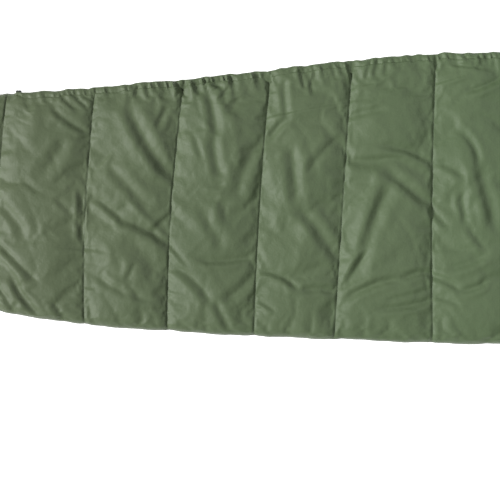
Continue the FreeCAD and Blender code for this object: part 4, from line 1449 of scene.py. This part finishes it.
# ------------------------------------------------------------------ edge trim
@dataclass
class EdgeTrim:
    """The gathered flap over the zip, the mouth's binding, the hood's hem and the foot's loops."""

    plan: SackPlan
    panel: UpperPanel
    finishes: Finishes
    cover_fold: CoverFold
    hood_fold: HoodFold

    def storm_flap(self) -> bpy.types.Object:
        """The padded strip along the cover's free edge, gathered by its topstitching."""
        start, end = self.plan.zip_foot_x - 0.012, self.plan.opening_x
        width = self.panel.flap_width

        def surface(share: Array, turn: Array) -> Array:
            """Points of the gathered tube."""
            x = start + share * (end - start)
            open_part = smooth(share / 0.035)
            edge = self.plan.sides(x)[1]
            frayed = 0.0030 * EDGE_GRAIN.at(x * 66, 0 * x + 77)
            frayed = frayed + 0.0016 * EDGE_GRAIN.at(x * 140, 0 * x + 14)
            half = ((width + 0.014) / 2 + frayed) * (0.35 + 0.65 * open_part)
            y = edge - half + half * np.cos(turn)
            upper = np.sin(turn) > 0
            straight = x
            for _ in range(3):
                straight = x - (self.plan.warp(straight, edge) - straight)
            relief = self.panel.relief(straight, x, y) - self.panel.crown_z
            stitched = bell(np.cos(turn) + 0.22, 0.13) * upper
            top_z, low_z = self.panel.crown_z - 0.0012 * (1 - np.cos(turn)) / 2, 0.0405
            centre = 0.0465
            z = centre + np.where(upper, top_z - centre, centre - low_z) * np.sin(turn)
            z = z + upper * np.sin(turn) * 0.9 * np.clip(relief, -0.011, 0.006) - 0.0012 * stitched
            ends, axis_y = np.clip(share / 0.004, 0.05, 1), edge - half
            y, z = axis_y + (y - edge + half) * ends, centre + (z - centre) * ends
            return np.stack([x, y, z], axis=1)

        shape = tube_shape(surface, lengthwise=760, around=26)
        piece = new_mesh("zip_flap_padding", shape, [self.finishes.shell])
        self.cover_fold.bend(piece)
        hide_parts("zip_storm_flap")
        return piece

    def mouth_binding(self) -> bpy.types.Object:
        """The rolled tape round the upper panel's mouth edge."""
        x_edge, half_width, half_height = self.plan.opening_x, 0.0042, 0.0062

        def surface(share: Array, turn: Array) -> Array:
            """Points of the rolled tape."""
            far, near = self.panel.sides(np.full_like(share, x_edge))
            y = far + 0.002 + (near - far - 0.001) * share
            swell = 1 + 0.08 * EDGE_GRAIN.at(y * 60, 0 * y + 2)
            x = x_edge - 0.0012 + half_width * np.cos(turn)
            z = self.panel.mouth_edge_z + half_height * np.sin(turn) * swell
            return np.stack([x, y, z], axis=1)

        shape = tube_shape(surface, lengthwise=200, around=14)
        piece = new_mesh("mouth_binding_tape", shape, [self.finishes.binding])
        self.cover_fold.bend(piece)
        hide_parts("mouth_binding_fixed", "mouth_binding_cover")
        return piece

    def hood_hem(self) -> bpy.types.Object:
        """The gathered channel round the hood's rim."""
        low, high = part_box("hood_hem_channel")
        radius = self.plan.hood_radius
        centre_x = self.plan.head_x - radius
        widest = math.atan2(high[1], low[0] - centre_x)
        inset, half_width, half_height = 0.0085, 0.0080, 0.0042

        def surface(share: Array, turn: Array) -> Array:
            """Points of the hem."""
            angle = (2 * share - 1) * widest
            gather = EDGE_GRAIN.at(share * 130, 0 * share + 60)
            gather = gather + 0.5 * EDGE_GRAIN.at(share * 260, 0 * share + 12)
            ends = np.sqrt(np.clip(np.minimum(share, 1 - share) / 0.006, 0.02, 1))
            across = radius - inset + half_width * np.cos(turn) * ends
            middle = (low[2] + high[2]) / 2 - 0.0012
            up = middle + half_height * np.sin(turn) * ends * (1 + 0.10 * gather)
            x, y = centre_x + across * np.cos(angle), across * np.sin(angle)
            return np.stack([x, y, up], axis=1)

        shape = tube_shape(surface, lengthwise=420, around=18)
        piece = new_mesh("hood_hem_gather", shape, [self.finishes.shell])
        self.hood_fold.bend(piece)
        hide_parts("hood_hem_channel")
        return piece

    def zip_tail(self) -> bpy.types.Object:
        """The ends of the zip's tapes, which stick out at the foot end of the zip."""
        x = self.plan.zip_foot_x - 0.002
        edge = self.plan.half_width(np.array([x]))[0] + self.plan.middle(np.array([x]))[0]
        shape = bmesh.new()
        size = Matrix.Diagonal((0.013, 0.022, 0.0008, 1))
        for lift, lean in ((0.0372, -0.10), (0.0387, 0.08)):
            place = Matrix.Translation((x, edge - 0.002, lift)) @ Matrix.Rotation(lean, 4, "Z")
            bmesh.ops.create_cube(shape, size=1.0, matrix=place @ size)
        soften(shape)
        piece = new_mesh("zip_tape_tail", shape, [self.finishes.zip_tape])
        self.cover_fold.bend(piece)
        return piece

    def eyelets(self) -> bpy.types.Object:
        """Two rolled metal eyelets on the hem."""
        low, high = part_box("hood_eyelets")
        shape = bmesh.new()
        centre_x = (low[0] + high[0]) / 2
        ring_radius, wire_radius = 0.0044, 0.0013
        for side in (-1, 1):
            centre_y = side * (high[1] - 0.006)
            ring = bmesh.ops.create_circle(shape, segments=10, radius=wire_radius)["verts"]
            place = Matrix.Translation((centre_x + ring_radius, centre_y, high[2] - 0.0010))
            bmesh.ops.rotate(shape, verts=ring, matrix=Matrix.Rotation(math.pi / 2, 3, "X"))
            bmesh.ops.transform(shape, verts=ring, matrix=place)
            edges = list({edge for vertex in ring for edge in vertex.link_edges})
            bmesh.ops.spin(shape, geom=edges, cent=(centre_x, centre_y, 0), axis=(0, 0, 1),
                           angle=math.tau, steps=32, use_merge=True)
        bmesh.ops.remove_doubles(shape, verts=shape.verts, dist=1e-6)
        bmesh.ops.recalc_face_normals(shape, faces=shape.faces)
        piece = new_mesh("hood_eyelet_rings", shape, [self.finishes.eyelet])
        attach(piece, "hood")
        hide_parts("hood_eyelets")
        return piece

    def foot_loop(self, node: str) -> bpy.types.Object:
        """A hanging loop: a narrow webbing band bent round in a long U."""
        low, high = (Vector(corner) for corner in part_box(node))
        centre = (low + high) / 2
        margin, band, thick = 0.0025, 0.0024, 0.0009
        half_x, half_y = (high.x - low.x) / 2 - margin, (high.y - low.y) / 2 - margin
        bend_power, edge_power = 0.42, 0.5

        def surface(share: Array, turn: Array) -> Array:
            """Points of the band along its rounded path."""
            angle = share * math.tau
            path_x = half_x * boxed(np.cos(angle), bend_power)
            path_y = half_y * boxed(np.sin(angle), bend_power)
            length = np.maximum(np.hypot(path_x / half_x, path_y / half_y), 1e-6)
            outward_x, outward_y = path_x / half_x / length, path_y / half_y / length
            across = band * boxed(np.cos(turn), edge_power)
            x = centre.x + path_x + outward_x * across
            y = centre.y + path_y + outward_y * across
            return np.stack([x, y, centre.z + thick * boxed(np.sin(turn), edge_power)], axis=1)

        shape = tube_shape(surface, lengthwise=96, around=12)
        piece = new_mesh(f"{node}_webbing", shape, [self.finishes.webbing])
        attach(piece, node)
        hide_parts(node)
        return piece

    def build(self) -> None:
        """Make all the trim."""
        self.storm_flap()
        self.mouth_binding()
        self.zip_tail()
        self.hood_hem()
        self.eyelets()
        for side in ("left", "right"):
            self.foot_loop(f"foot_loop_{side}")


def dress_node(node: str, finish: bpy.types.Material) -> None:
    """Give a CAD node that stays shown its material."""
    shown = frame["nodes"][node]
    shown.data.materials.clear()
    shown.data.materials.append(finish)


# ------------------------------------------------------------------ studio
@dataclass(frozen=True)
class Studio:
    """A plain pale floor, soft light from the foot side, and a camera looking straight down."""

    view_width: float = 1.2885
    centre: tuple[float, float] = (-0.0947, -0.1327)
    lens: float = 100.0
    sensor: float = 36.0
    surface_z: float = 0.045
    aim: tuple[float, float, float] = (-0.05, 0.0, 0.03)
    floor_half: float = 14.0
    floor_gap: float = 0.0015
    surrounding_light: float = 0.17

    def floor(self) -> None:
        """A wide pale sheet under everything."""
        shape = bmesh.new()
        bmesh.ops.create_grid(shape, x_segments=1, y_segments=1, size=self.floor_half)
        paint = Paint("pale_floor")
        material = paint.finish({"Base Color": (0.93, 0.93, 0.93, 1), "Roughness": 0.9,
                                 "Specular IOR Level": 0.1, "Emission Color": (1, 1, 1, 1),
                                 "Emission Strength": 0.7})
        floor = new_mesh("studio_floor", shape, [material], shaded=False)
        floor.location.z = -self.floor_gap

    def lamp(self, name: str, place: tuple[float, float, float], size: float,
             power: float) -> None:
        """A square soft box aimed at the sack."""
        light = bpy.data.lights.new(name, "AREA")
        light.shape, light.size, light.energy = "SQUARE", size, power
        holder = bpy.data.objects.new(name, light)
        holder.location = place
        view = Vector(self.aim) - Vector(place)
        holder.rotation_euler = view.to_track_quat("-Z", "Y").to_euler()
        bpy.context.scene.collection.objects.link(holder)

    def build(self) -> None:
        """Set the floor, the lamps, the surrounding light and the camera."""
        self.floor()
        self.lamp("key_softbox", (-8.9, -1.2, 6.6), size=3.2, power=1730.0)
        self.lamp("top_softbox", (2.6, 1.3, 3.6), size=3.0, power=62.0)
        world = bpy.data.worlds.new("studio_world")
        world.use_nodes = True
        background = world.node_tree.nodes["Background"]
        background.inputs["Color"].default_value = (1, 1, 1, 1)
        background.inputs["Strength"].default_value = self.surrounding_light
        scene = bpy.context.scene
        scene.world = world
        scene.view_settings.view_transform = "Standard"
        camera = bpy.data.cameras.new("camera")
        camera.lens, camera.sensor_width = self.lens, self.sensor
        camera.clip_end = 60.0
        holder = bpy.data.objects.new("camera", camera)
        distance = self.view_width * self.lens / camera.sensor_width
        holder.location = (*self.centre, self.surface_z + distance)
        scene.collection.objects.link(holder)
        scene.camera = holder


# ------------------------------------------------------------------ assembly
def stitch_everything(plan: SackPlan, panel: UpperPanel, lower: LowerPanel, finishes: Finishes,
                      cover_fold: CoverFold) -> None:
    """Make every row of quilting thread."""
    stitching = Stitching(finishes)

    def upper_height(number: int, x: Array, y: Array) -> Array:
        """Just above the skin in the seam."""
        clearance = 0.0002
        return panel.height_at(number, x, y) + clearance

    def lower_height(_number: int, x: Array, _y: Array) -> Array:
        """In the groove of the lining."""
        return 0 * x + lower.lining_z - lower.groove

    upper = stitching.seams("upper_quilting_stitches", plan, 0.93, 0.93, upper_height)
    cover_fold.bend(upper)
    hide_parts("upper_quilting_thread_fixed", "upper_quilting_thread_cover")
    inner = stitching.seams("lower_quilting_stitches", plan, 0.88, 0.80, lower_height)
    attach(inner, "sack")
    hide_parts("lower_quilting_thread")
    low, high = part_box("hood_quilting_thread")
    y = np.arange(low[1], high[1], stitching.pitch)
    path = np.stack([0 * y + (low[0] + high[0]) / 2, y, lower_height(0, y, y)], axis=1)
    hood = stitching.row("hood_quilting_stitches", path)
    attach(hood, "hood")
    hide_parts("hood_quilting_thread")


def main() -> None:
    """Build the sack round its frame, piece by piece."""
    logging.basicConfig(level=logging.INFO, format="%(relativeCreated)d ms %(message)s")
    finishes = Finishes()
    plan = SackPlan()
    cover_fold, hood_fold = CoverFold(), HoodFold()
    panel = UpperPanel(plan, finishes)
    LOG.info("upper panel: %d faces", len(panel.build(cover_fold).data.polygons))
    lower = LowerPanel(plan, finishes)
    LOG.info("lower panel: %d faces", len(lower.build(hood_fold).data.polygons))
    stitch_everything(plan, panel, lower, finishes, cover_fold)
    LOG.info("stitching done")
    Zip(ZipLine(), finishes, cover_fold).build()
    LOG.info("zip done")
    EdgeTrim(plan, panel, finishes, cover_fold, hood_fold).build()
    LOG.info("trim done")
    Studio().build()


if __name__ == "__main__":
    main()
